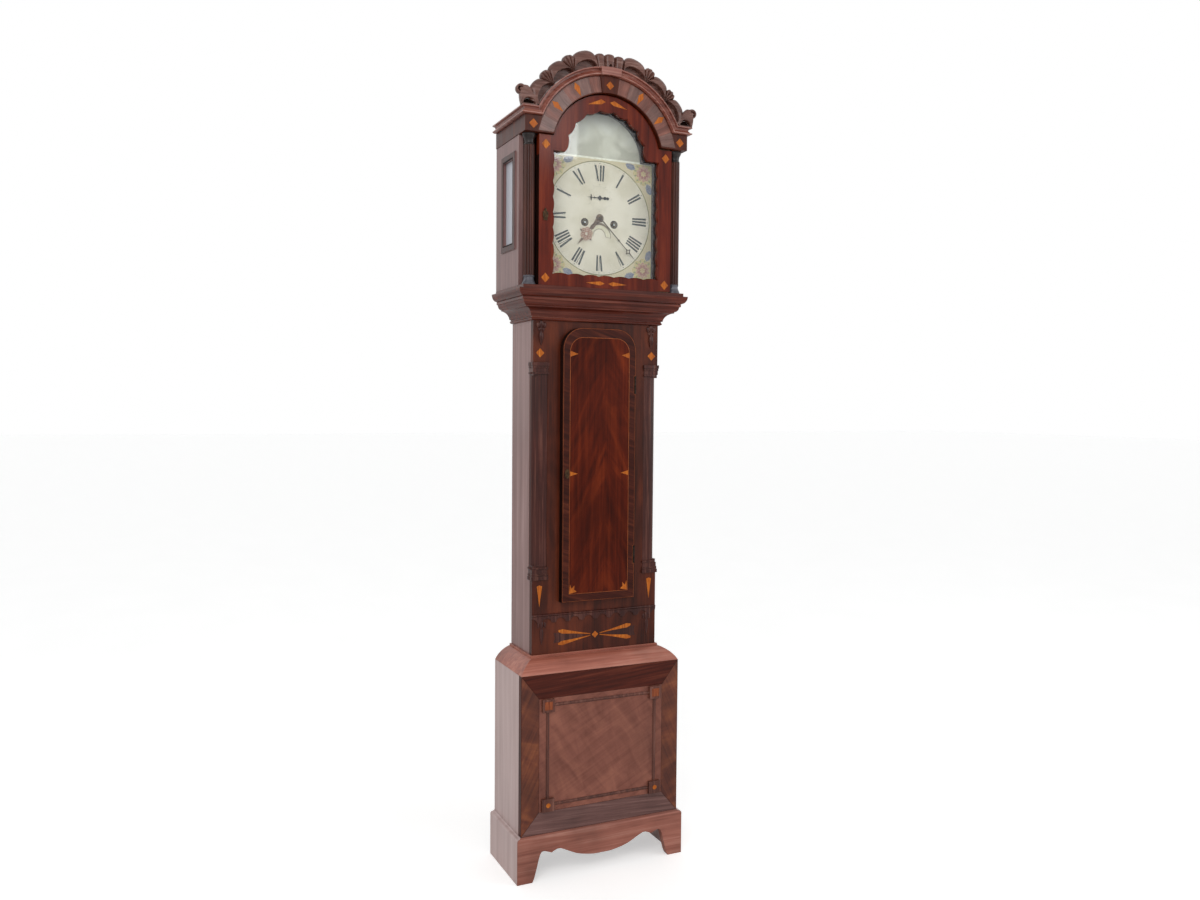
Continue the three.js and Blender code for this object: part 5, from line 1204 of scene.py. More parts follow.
@dataclass
class Base:
    """The plinth and base: bracket feet, mitred veneers, bead frame and corner blocks."""

    half_width: float = 231.0
    foot: float = 122.6
    head: float = 544.2
    mitre_half: float = 182.0
    mitre_foot: float = 180.0
    mitre_head: float = 481.0
    panel_lean: float = 62.0
    block_across: float = 158.0
    block_low: float = 198.2
    block_high: float = 462.7
    lozenge_half: float = 6.5
    square_half: float = 11.0

    @cached_property
    def face(self) -> float:
        """Finds the depth of the base's front."""
        return front_depth("base_front", 0, 300)

    def build(self) -> None:
        """Dresses the plinth and base, and lays the front's veneers and inlays."""
        dress(MAHOGANY_PALE, "caddy_moulding")
        dress(MAHOGANY_PLINTH, "plinth_front")
        dress(PALE_SIDE, "plinth_left", "plinth_right", "base_left", "base_right")
        dress(FLAME_SOLID, "base_front")
        dress(BEAD_MAHOGANY, "base_panel_moulding")
        self._border()
        self._panel()
        self._blocks()

    def _border(self) -> None:
        """Lays the four mitred border veneers, each with its own grain."""
        outer, inner = self.half_width, self.mitre_half
        low, rise, drop, high = self.foot, self.mitre_foot, self.mitre_head, self.head
        boards: dict[Finish, list[Mesh]] = {}
        for finish, outline, lean, offset in (
                (BORDER_RED, [(-outer, low), (-inner, rise), (-inner, drop), (-outer, high)],
                 25, 0),
                (BORDER_RED, [(outer, low), (outer, high), (inner, drop), (inner, rise)],
                 -25, 700),
                (BORDER_DARK, [(-outer, high), (-inner, drop), (inner, drop), (outer, high)],
                 86, 1400),
                (BORDER_LOW, [(-outer, low), (outer, low), (inner, rise), (-inner, rise)],
                 93, 2100)):
            mesh = map_veneer(*laid([outline], self.face, VENEER), leaning(lean, offset))
            boards.setdefault(finish, []).append(mesh)
        for finish, meshes in boards.items():
            place_piece("base_" + finish.name, meshes, finish, "case")

    def _panel(self) -> None:
        """Draws the dark mitred joints, and lays the curl veneer that leans up to the right."""
        outer, inner = self.half_width, self.mitre_half
        panel = oblong(-inner, self.mitre_foot, inner, self.mitre_head)
        mitres = [[(hand * outer, start), (hand * inner, stop)] for hand in SIDES
                  for start, stop in ((self.head, self.mitre_head), (self.foot, self.mitre_foot))]
        draw = partial(
            draw_line, depth=self.face + VENEER, width=0.8, finish=SHADED_EDGE, thickness=0.1)
        joints = [draw(mitre, closed=False) for mitre in mitres] + [draw(panel)]
        place_piece("base_veneer_joints", joints, SHADED_EDGE, "case")
        mesh = map_veneer(*laid([panel], self.face, VENEER), leaning(self.panel_lean))
        place_piece("base_panel_veneer", mesh, PANEL_VENEER, "case")

    def _blocks(self) -> None:
        """Lets lozenges into the lower corner blocks and squares into the upper ones."""
        lozenges, squares = [], []
        half = self.square_half
        for hand in SIDES:
            across, low, high = hand * self.block_across, self.block_low, self.block_high
            lozenges += laid([ring(self.lozenge_half, across, low, 8)],
                             front_depth("base_panel_moulding", across, low))
            squares += laid([oblong(across - half, high - half, across + half, high + half)],
                            front_depth("base_panel_moulding", across, high))
        place_piece("base_block_lozenges", lozenges, SATINWOOD, "case")
        place_piece("base_block_squares", squares, TULIPWOOD, "case")


@dataclass
class Trunk:
    """The trunk: pilasters, split drops, inlays, the pendant bead and the throat."""

    drop_across: float = 162.5
    drop_profile: Points = (
        (0.4, 1404.5), (2.2, 1408), (5, 1416), (7.2, 1426), (7, 1434), (4.4, 1441),
        (2.8, 1444), (4.6, 1446), (4.8, 1449), (3.2, 1451.5), (5.6, 1456), (7, 1462),
        (5.2, 1467.5), (0.6, 1469))
    foot_across: float = 157.0
    foot_profile: Points = (
        (0.4, 611), (2, 616), (4.6, 628), (6, 641), (5, 650), (2.8, 655),
        (4.8, 659), (5.4, 666), (3.6, 673), (0.6, 676))
    fillets: tuple[Place, ...] = (
        (1351, 1359.8, 1.5), (1346, 1349, 0.6), (1329.5, 1334, 0.8),
        (785.2, 794, 1.5), (797, 800, 0.6), (814, 819, 0.8))
    fillet_corner: float = 22.0
    spray_height: float = 626.5
    shade: Points = ((26, 626.5), (78, 638), (122, 640), (118, 626.5), (122, 613), (78, 615))

    @cached_property
    def face(self) -> float:
        """Finds the depth of the trunk's front."""
        return front_depth("trunk_front", 0, 620)

    def build(self) -> None:
        """Dresses the trunk, carves its drops and lets in its satinwood."""
        dress(MAHOGANY_FRONT, "trunk_front")
        dress(FADED_SIDE, "trunk_left", "trunk_right")
        dress(DARK_MAHOGANY, "pilaster_left", "pilaster_right", "trunk_bead")
        dress(MAHOGANY_MOULDING, "throat_moulding")
        dress(BLACK_BRASS, "trunk_hinge_upper", "trunk_hinge_lower")
        dress(PINE, "backboard", "seat_board")
        self._drops()
        self._inlays()
        fillets = [self._fillet(hand, *sizes) for hand in SIDES for sizes in self.fillets]
        place_piece("pilaster_fillets", fillets, DARK_MAHOGANY, "case")

    def _fillet(self, hand: int, low: float, high: float, out: float) -> Mesh:
        """Runs one small moulded fillet round a pilaster's cap or foot.

        Args:
            hand: The side that it stands on.
            low: Height of its lower face.
            high: Height of its upper face.
            out: How far it stands out.

        Returns:
            The fillet's mesh.
        """
        near, far, front = 141.6 - out, 187.7 + out, 158.9 + out
        corner = self.fillet_corner
        plan = [(near, 156), (near, front)]
        for step in range(9):
            turn = pi / 2 * (1 - step / 8)
            plan.append((far - corner + corner * cos(turn), front - corner + corner * sin(turn)))
        plan += [(far, 132), (185.5, 132), (185.5, 137), (160, 156)]
        return lofted([[at(hand * x, depth, level) for x, depth in plan]
                       for level in (low, high)], hollow=True)

    def _drops(self) -> None:
        """Carves the split drops at the head and foot of the trunk, with their leaves."""
        meshes, face = [], self.face
        for hand in SIDES:
            across = hand * self.drop_across
            meshes.append(turned(self.drop_profile, across, face, 20))
            for lean in SIDES:
                meshes += [knob(across + lean * 9, face + 0.5, 1458, (5.2, 4, 8)),
                           knob(across + lean * 6, face + 0.5, 1446, (3, 2.6, 5.5))]
            across = hand * self.foot_across
            meshes.append(turned(self.foot_profile, across, face, 16, 0.6))
            meshes += [knob(across + lean * 9, face + 0.3, 664, (3.4, 2, 8)) for lean in SIDES]
        place_piece(
            "trunk_split_drops", meshes, DARK_MAHOGANY, "case", smooth=True)

    def _inlays(self) -> None:
        """Lets the diamonds, daggers and petals into the front."""
        outlines = [diamond(0, 626, 9.5)]
        shares = [step / 8 for step in range(9)]
        upper = [(14 + 96 * share, 1 + 6.2 * share ** 1.5 * (1 if share < 1 else 0.2))
                 for share in shares]
        petal = upper + [(x, -z) for x, z in reversed(upper)]
        for hand in SIDES:
            outlines.append(diamond(hand * 165, 1385, 12))
            outlines.append(mirrored([(156, 768), (163.5, 771), (171, 768), (163.5, 712)], hand))
            for rise in (17.5, -17.5):
                tilt = -degrees(atan2(rise, 108))
                outlines.append(mirrored(swung(petal, tilt, (0, self.spray_height)), hand))
        place_piece("trunk_inlays", laid(outlines, self.face), SATINWOOD, "case")
        shades = laid([mirrored(self.shade, hand) for hand in SIDES], self.face, 0.15, 0.01)
        place_piece("trunk_shaded_veneer", shades, DARK_MAHOGANY, "case")


@dataclass
class TrunkDoor:
    """The trunk door: crossband, flame panel, stringing, arrows, lock and hinges.

    Each outline of the door is its half width, foot, head and the radius of its upper corners.
    """

    band: tuple[float, ...] = (106.2, 724.6, 1452.7, 56.7)
    panel: tuple[float, ...] = (87, 745.1, 1428, 38)
    rim_line: tuple[float, ...] = (105.6, 725.2, 1452, 56)
    edge: tuple[float, ...] = (107.7, 723.1, 1454.2, 58.2)
    edge_core: tuple[float, ...] = (107.45, 723.35, 1453.95, 57.95)
    hinge_notches: Points = ((817.2, 866.8), (1279.7, 1329.3))
    arrows: tuple[Outline, ...] = (
        [(87.5, 1392), (88.5, 1384), (87.5, 1376), (64, 1384)],
        [(86.5, 1073), (87, 1066.5), (86.5, 1060), (63, 1066.5)],
        [(86.5, 745.8), (64, 750.5), (72, 756.5), (71, 768), (79.5, 759.5), (84, 772)])

    def arched(self, half: float, foot: float, head: float, corner: float) -> Outline:
        """Gives a door outline with rounded upper corners, from its left foot."""
        turns = [(side, pi / 2 * (start + step / 12)) for side, start in ((1, 0), (-1, 1))
                 for step in range(13)]
        return [(-half, foot), (half, foot)] + [
            (side * (half - corner) + corner * cos(turn),
             head - corner + corner * sin(turn)) for side, turn in turns]

    def notched(self, outline: Outline, depth: float) -> Outline:
        """Cuts the two hinge notches into the right side of a door outline.

        Args:
            outline: The outline, as `arched` gives it.
            depth: How far across the notches stop.

        Returns:
            The outline with its notches.
        """
        half = outline[1][0]
        cuts = [point for low, high in self.hinge_notches for point in (
            (half, low), (depth, low), (depth, high), (half, high))]
        return outline[:2] + cuts + outline[2:]

    def build(self) -> None:
        """Veneers the door, draws its lines and lets in its arrows."""
        dress(FLAME_SOLID, "trunk_door")
        dress(BLACK_BRASS, "trunk_door_leaf_upper", "trunk_door_leaf_lower")
        dress(OLD_BRASS, "trunk_door_lock")
        face = front_depth("trunk_door", 0, 900)
        inner = self.arched(*self.panel)
        outer = self.notched(self.arched(*self.band), 102.2)
        band = map_veneer(plate([outer, inner], face + 0.02, face + VENEER),
                          lambda x, z: (z * 0.94 + x * 0.3, x * 0.94 - z * 0.3))
        place_piece("trunk_door_crossband", band, BAND_VENEER, "trunk_door")
        panel = map_veneer(*laid([inner], face, VENEER), lambda x, z: (x - 18, z))
        place_piece("trunk_door_flame_panel", panel, FLAME_VENEER, "trunk_door")
        rim_line = self.notched(self.arched(*self.rim_line), 101.6)
        strings = [draw_line(inner, face + VENEER, 1.5, SATINWOOD_LINE),
                   draw_line(rim_line, face + 0.2, 0.9, SATINWOOD_LINE)]
        place_piece("trunk_door_stringing", strings, SATINWOOD_LINE, "trunk_door")
        # The strip is painted shade on the door's side edges. The hinged edge is left bare, so the
        # strip runs from its top to the lock side's foot
        rim, core = self.arched(*self.edge), self.arched(*self.edge_core)
        strip = rim[2:] + rim[:1] + core[:1] + core[:1:-1]
        place_piece("trunk_door_edge", plate([strip], face - 19.4, face - 0.6), SHADED_EDGE,
                    "trunk_door")
        arrows = [mirrored(arrow, hand) for hand in SIDES for arrow in self.arrows]
        place_piece("trunk_door_arrows", laid(arrows, face, 0.4, 0.03), SATINWOOD, "trunk_door")


@dataclass(frozen=True)
class Lobe:
    """One hollow lobe of the cresting, in degrees from upright.

    Attributes:
        middle: The lobe's middle.
        inner: How far its foot reaches towards the top of the arch.
        outer: How far its foot reaches towards the end.
        hollow: Height of its niche in millimetres.
    """

    middle: float
    inner: float
    outer: float
    hollow: float


def held(share: float, low: float = 0.0) -> float:
    """Holds a share between a lowest value and 1."""
    return min(1, max(low, share))


def vault(share: float, power: float = 2.0) -> float:
    """Gives the height of a round vault at a share of its half width."""
    return sqrt(max(0, 1 - share ** power))


@dataclass
class Cresting:
    """The carved cresting: hollow lobes, pleated fans, fluted stubs and end volutes."""

    foot: float = 224.3
    rise: float = 45.7
    back: float = 209.0
    front: float = 227.0
    lobes: tuple[Lobe, ...] = (
        Lobe(53, 8, 8.8, 17.5), Lobe(36.15, 8.85, 8.65, 18.5), Lobe(16.65, 6.9, 10.4, 20))
    fans: Points = ((44.9, 3.3), (27.2, 3.5))
    fan_share: float = 0.68
    stub_edge: float = 9.6
    middle_stub: float = 3.4
    side_stub: Point = (6.5, 3.1)
    valleys: Points = (
        (57.8, 0.76), (48.2, 0.65), (41.6, 0.66), (30.7, 0.705), (23.7, 0.695), (9.6, 0.6),
        (3.4, 0.63), (-3.4, 0.63))
    peaks: Points = (
        (54, 0.9), (44.5, 0.925), (36, 0.935), (27, 0.98), (16.5, 1), (6.5, 0.78), (0, 0.79))
    end_angle: float = 62.6
    columns: int = 760
    rows: int = 38
    eye: Point = (247, 2037.5)
    eye_radius: float = 13.8
    stem: Points = (
        (201.8, 2000.8), (245.5, 2000.8), (248, 2010), (249.5, 2020), (250, 2030),
        (243, 2040), (238, 2048.5), (229, 2048), (221, 2041), (214, 2030),
        (206.5, 2014))

    def edge(self, turn: float) -> float:
        """Finds the radius of the carving's upper edge.

        Args:
            turn: Degrees from upright.

        Returns:
            The radius from the arch's centre.
        """
        if turn > self.valleys[0][0]:
            return self.foot + self.rise * (0.76 - 0.2 * held((turn - self.valleys[0][0]) / 4))
        for outer, inner, peak in zip(self.valleys, self.valleys[1:], self.peaks):
            if inner[0] <= turn <= outer[0]:
                end = outer if turn > peak[0] else inner
                share = held(abs(turn - peak[0]) / max(abs(end[0] - peak[0]), 0.1))
                return self.foot + self.rise * (end[1] + (peak[1] - end[1]) * vault(share, 2.4))
        return self.foot + self.rise * 0.76

    def relief(self, angle: float, radius: float) -> tuple[float, bool]:
        """Finds how far forward the carving stands at a point of its face.

        Args:
            angle: Degrees from upright.
            radius: Distance from the arch's centre.

        Returns:
            The depth, and whether the point lies inside a niche.
        """
        turn, up = abs(angle), radius - self.foot
        top = self.edge(turn) - self.foot
        if turn < self.stub_edge:
            return self._stub(turn, up, top - up)
        fan_rise = self.rise * self.fan_share
        for middle, half in self.fans:
            aside = abs(turn - middle)
            if aside < half:
                border = fan_rise * aside / half
                if up > border:
                    return self._fan((turn - middle) / (half * held(up / fan_rise)),
                                     held(up / fan_rise), top - up), False
                top = min(top, max(border, 0.5))
        return self._vault(turn, up, top)

    def _vault(self, turn: float, up: float, top: float) -> tuple[float, bool]:
        """Gives the relief of a hollow lobe, a vault that falls back from its niche's edge.

        Args:
            turn: Degrees from upright.
            up: Height above the carving's foot.
            top: Height of the lobe's edge there.

        Returns:
            The depth, and whether the point lies inside the niche.
        """
        lobe = min(self.lobes, key=lambda one: abs(turn - one.middle) / (
            one.outer if turn > one.middle else one.inner))
        half = (lobe.outer if turn > lobe.middle else lobe.inner) * 0.95
        off = (turn - lobe.middle) / half
        here, edge = hypot(off, up / lobe.hollow), hypot(off, top / lobe.hollow)
        if here < 1:
            return self.back + 2 + 1.5 * here, True
        share = min(1, (here - 1) / max(edge - 1, 0.05))
        swell = sqrt(max(0, 1 - 0.96 * share ** 2.2))
        return self.back + 2.5 + (self.front - self.back - 2.5) * swell, False

    def _fan(self, aside: float, rise: float, rim: float) -> float:
        """Gives the relief of a fan of three leaflets that meet at their foot.

        Args:
            aside: Share of the half width, from -1 to 1.
            rise: Share of the height.
            rim: Distance to the edge.

        Returns:
            The depth.
        """
        leaf = abs(sin(pi * 1.5 * (held(aside, -1) + 1)))
        swell = 0.22 + (0.18 + 0.25 * rise) + 0.33 * leaf ** 0.75
        crown = vault(1 - held(rim / 9))
        return self.back + (self.front - self.back) * swell * (0.4 + 0.6 * crown)

    def _stub(self, turn: float, up: float, rim: float) -> tuple[float, bool]:
        """Gives the relief of the rounded stubs at the top, the middle one with its hollow.

        Args:
            turn: Degrees from upright.
            up: Height above the carving's foot.
            rim: Distance to the edge.

        Returns:
            The depth, and whether the point lies inside the hollow.
        """
        across = radians(turn) * (self.foot + up)
        if turn < self.middle_stub and hypot(across / 4.6, up / 8) < 1:
            return self.back + 4, True
        middle, half = (0, self.middle_stub) if turn < self.middle_stub else self.side_stub
        swell = vault(abs((turn - middle) / half), 3)
        crown = vault(1 - held(rim / 7))
        return self.back + (self.front - self.back) * (0.2 + 0.78 * swell) * (
            0.35 + 0.65 * crown), False

    def build(self) -> None:
        """Carves the arch's crest and its two end volutes as one piece."""
        meshes, niches = [self._crest()], []
        for hand in SIDES:
            carved, niche = self._volute(hand)
            meshes += carved
            niches += niche
        # Niche faces and the volutes' niche plates carry painted shade
        piece = place_piece("carved_cresting", meshes, CARVED_MAHOGANY, "hood",
                            "cresting", NICHE_WOOD, smooth=True)
        piece.data.set_sharp_from_angle(angle=radians(48))
        place_piece("volute_niches", niches, NICHE_WOOD, "hood", "cresting")

    def _crest(self) -> Mesh:
        """Carves the crest along the arch, with material 1, painted shade, inside its niches.

        Returns:
            The crest's closed mesh.
        """
        sections, niches = [], []
        for column in range(self.columns + 1):
            angle = -self.end_angle + 2 * self.end_angle * column / self.columns
            top = self.edge(abs(angle))
            radii = [
                self.foot + (top - self.foot) * row / self.rows for row in range(self.rows + 1)]
            carved = [self.relief(angle, radius) for radius in radii]
            depths = [self.back, *(min(depth, self.front) for depth, _ in carved), self.back]
            places = [polar(radius, angle) for radius in (self.foot, *radii, top)]
            sections.append([at(x, depth, z) for (x, z), depth in zip(places, depths)])
            niches.append([inside for _, inside in carved])
        mesh = lofted(sections)
        for column, (here, there) in enumerate(zip(niches, niches[1:])):
            for row in range(self.rows):
                # Each column's faces start with the one under the carving
                face = mesh.polygons[column * (self.rows + 3) + row + 1]
                # Faces inside a niche take material 1, painted shade
                face.material_index = int(here[row] or there[row + 1])
        return mesh

    def _volute(self, hand: int) -> tuple[list[Mesh], list[Mesh]]:
        """Carves one end volute: a vaulted stem over its niche, and a roll with a round end.

        Args:
            hand: -1 for the left end and 1 for the right one.

        Returns:
            Its meshes, in place, and those of the painted shade plates at the back of the niche and
            behind the eye.
        """
        centre, height = self.eye
        turns = [pi * (1 - step / 14) for step in range(15)]
        niche = mirrored([(208.5, 2001.8)] + [
            (225 + 16 * cos(turn), 2003 + 15.5 * sin(turn))
            for turn in turns] + [(241.5, 2001.8)], hand)
        return [
            plate([mirrored(self.stem, hand), niche], self.back + 2, self.front - 0.5, 2.6),
            self._scroll(hand, centre, height),
            turned_boss(4.8, 3.8, self.back + 1, self.front - 1, height - 0.5,
                        hand * (centre - 1.5)),
        ], [
            plate([niche], self.back + 1, self.back + 4),
            plate([ring(9.8, hand * centre, height, 28)], self.back + 1, self.back + 6)]

    def _scroll(self, hand: int, centre: float, height: float, steps: int = 64,
                sides: int = 12) -> Mesh:
        """Winds the roll's rounded strip, which coils from the stem into the eye.

        Args:
            hand: The end that it stands on.
            centre: The eye's place across.
            height: The eye's height.
            steps: How many steps the coil has.
            sides: How many faces go round the strip.

        Returns:
            The strip's closed mesh.
        """
        rows = []
        for share in [step / steps for step in range(steps + 1)]:
            turn = radians(165 - 470 * share)
            radius = (self.eye_radius - 2.6) * (1 - 0.3 * share)
            row = []
            for swing in [tau * side / sides for side in range(sides)]:
                out = radius + (2.9 - 1.3 * share) * cos(swing)
                bulge = copysign(abs(sin(swing)) ** 0.6, sin(swing))
                depth = (self.back + self.front) / 2 + (8.8 - 0.8 * share) * bulge
                row.append(at(hand * (centre + out * cos(turn)), depth, height + out * sin(turn)))
            rows.append(row)
        return lofted(rows)


@dataclass
class Columns:
    """The hood's free-standing columns: turned foot and cap with a reeded shaft between."""

    across: float = 211.5
    depth: float = 190.0
    reeds: int = 12
    core: float = 11.6
    reed: float = 2.9
    shaft: Point = (1579, 1909.2)
    foot: float = 1556.0
    foot_profile: Points = (
        (18, 0), (18, 3), (17.2, 5), (15, 9), (13.6, 14), (13.2, 18.5),
        (14.6, 20), (14.8, 22), (13.6, 24), (12, 24.5))
    cap: float = 1908.2
    cap_profile: Points = (
        (11.5, 0), (13.8, 0.6), (14.6, 2.5), (13.8, 4.6), (12.6, 6), (12.8, 12),
        (14.2, 18), (16.8, 22.5), (17, 24.5), (18.2, 25), (18.2, 30))

    def build(self) -> None:
        """Turns and reeds both columns in place of the plain ones."""
        recipe = reeded_shaft_recipe()
        low, high = self.shaft
        for hand, node in zip(SIDES, ("column_left", "column_right")):
            across = hand * self.across
            shaft = recipe.grow(REEDED_MAHOGANY, {
                "Count": self.reeds, "Ring": self.core * MM, "Rod": self.reed * MM,
                "Length": (high - low) * MM, "Across": across * MM,
                "Forward": (BACK_PLANE - self.depth) * MM, "Height": (low + high) / 2 * MM})
            shaft.set_sharp_from_angle(angle=radians(50))
            place_piece(node + "_reeded_shaft", shaft, REEDED_MAHOGANY, "hood", node)
            for part, start, profile, finish in (
                    ("foot", self.foot, self.foot_profile, GREYED_EBONY),
                    ("cap", self.cap, self.cap_profile, EBONISED)):
                mesh = turned([(radius, start + up) for radius, up in profile], across, self.depth)
                place_piece(f"{node}_turned_{part}", mesh, finish, "hood", node)


@dataclass
class Hood:
    """The hood's case: mouldings, sides with their windows, frieze veneers and keystone."""

    band_inner: float = 161.5
    band_middle: float = 182.0
    band_outer: float = 201.5
    band_foot: float = ARCH_CENTRE + 42.0
    joints: tuple[float, ...] = (
        -88, -66, -53.6, -41, -29.7, -18, -7.9, 7.9, 18, 29.7, 41, 53.6, 66, 88)
    wedges: tuple[float, ...] = (29.7, 53.6)
    wedge: Points = ((0, 162), (8.2, 187), (0, 200.5), (-8.2, 187))
    window: Place = (98.5, 1776.5, 235.62)

    def build(self) -> None:
        """Dresses the hood and lays its frieze veneers and inlays."""
        dress(MAHOGANY_MOULDING, "hood_base")
        dress(MAHOGANY_CORNICE, "hood_cornice")
        dress(HOOD_SIDE, "hood_left_side", "hood_right_side")
        # The hood mask is near-black, painted shade in the recess behind the columns
        dress(SHADED_EDGE, "hood_mask")
        dress(MAHOGANY_FRONT, "hood_frieze")
        dress(PINE_ROOF, "hood_roof")
        dress(SIDE_GLASS, "hood_left_glass", "hood_right_glass")
        self._frieze()
        self._inlays()
        self._windows()

    def _frieze(self) -> None:
        """Lays the arch's veneers in short pieces whose grain runs out from the centre."""
        face = front_depth("hood_frieze", *polar(self.band_middle, 14))
        tints: tuple[list[Mesh], list[Mesh]] = ([], [])
        for place, (start, stop) in enumerate(zip(self.joints, self.joints[1:])):
            if start < 0 < stop:
                continue
            angles = [start + (stop - start) * step / 8 for step in range(9)]
            outline = [polar(self.band_inner, angle) for angle in angles]
            outline += [polar(self.band_outer, angle) for angle in reversed(angles)]
            outline = [(x, max(z, self.band_foot)) for x, z in outline]
            shift = 310 * (place + 1)
            tints[place % 2].append(map_veneer(
                *laid([outline], face, VENEER), lambda x, z, offset=shift: (
                    atan2(x, z - ARCH_CENTRE) * self.band_middle + offset,
                    hypot(x, z - ARCH_CENTRE) + offset)))
        for finish, meshes in zip((FRIEZE_VENEER, FRIEZE_RED), tints):
            place_piece("frieze_" + finish.name, meshes, finish, "hood")

    def _inlays(self) -> None:
        """Lets diamonds into the blocks and keystone, and wedges into the arch."""
        meshes = []
        for hand in SIDES:
            across = hand * 211.5
            face = front_depth("hood_frieze", across, 1956.5)
            meshes += laid([diamond(across, 1957.5, 12)], face, 0.35)
            for angle in self.wedges:
                face = front_depth("hood_frieze", *polar(self.band_middle, hand * angle))
                wedge = swung(self.wedge, hand * angle, (0, ARCH_CENTRE))
                meshes += laid([wedge], face, 0.45)
        face = front_depth("hood_frieze", 0, 2079)
        meshes += laid([diamond(0, 2079, 11)], face, 0.35)
        place_piece("hood_inlays", meshes, SATINWOOD, "hood")

    def _windows(self) -> None:
        """Frames each side window with its dark bead, and paints shade in its rebate."""
        forward, height, face = self.window
        outer, rebate, opening = (oblong(forward - wide, height - tall, forward + wide,
                                         height + tall)
                                  for wide, tall in ((50.9, 124.9), (38, 112), (34.3, 108.3)))
        # The rebate plates are near-black, painted shade
        for name, outlines, proud, rounding, finish in (
                ("window_beads", [outer, rebate], 0.58, 0.2, DARK_MAHOGANY),
                ("window_rebates", [rebate, opening], 0.18, 0, SHADED_EDGE)):
            meshes = [plate(outlines, face, face + proud, rounding, facing)
                      for facing in (Facing.LEFT, Facing.RIGHT)]
            place_piece(name, meshes, finish, "hood")


@dataclass
class HoodDoor:
    """The glazed hood door: inlays, escutcheon, pivots and glass."""

    lock: Point = (-174.5, 1735)
    key_plate: Points = (
        (0, 17), (4, 11.5), (3, 8), (7.5, 6), (7.5, -6), (5, -9),
        (6, -15), (-6, -15), (-5, -9), (-7.5, -6), (-7.5, 6), (-3, 8),
        (-4, 11.5))
    dart: Points = ((5, 1568.5), (18, 1574), (60, 1568.5), (18, 1563))
    arch_dart: Points = ((0, 6.5), (41, 0), (0, -6.5), (-12, 0))
    arch_dart_radius: float = 139.5
    arch_dart_angle: float = 7.5

    def build(self) -> None:
        """Dresses the door and adds its inlays, escutcheon and painted shade on its edges."""
        dress(MAHOGANY_DOOR, "hood_door")
        dress(DOOR_GLASS, "hood_door_glass")
        dress(OLD_BRASS, "hood_pivot_lower", "hood_pivot_upper", "hood_door_lock")
        outlines: list[Outline] = []
        for hand in SIDES:
            outlines += [diamond(hand * 173.5, height, 11.5, 12.5) for height in (1574.5, 1913)]
            outlines.append(mirrored(self.dart, hand))
            outlines.append([polar(self.arch_dart_radius + z, hand * (
                self.arch_dart_angle + degrees(x / self.arch_dart_radius)))
                for x, z in self.arch_dart])
        meshes = []
        for outline in outlines:
            middle = [sum(axis) / len(outline) for axis in zip(*outline)]
            meshes += laid([outline], front_depth("hood_door", *middle))
        place_piece("hood_door_inlays", meshes, SATINWOOD, "hood_door")
        across, height = self.lock
        face = front_depth("hood_door_lock", across + 3.5, height + 8)
        outlines = [
            swung(outline, 0, self.lock) for outline in (self.key_plate, ring(1.8, 0, 2, 16))]
        place_piece("hood_door_key_plate", plate(outlines, face + 0.05, face + 0.9, 0.2),
                    OLD_BRASS, "hood_door")
        # Painted shade on the edges that close against the columns
        edges = [plate([oblong(190.2, 1557, 208.4, 1886)], 191.72, 191.9, 0, facing)
                 for facing in (Facing.LEFT, Facing.RIGHT)]
        place_piece("hood_door_edges", edges, SHADED_EDGE, "hood_door")


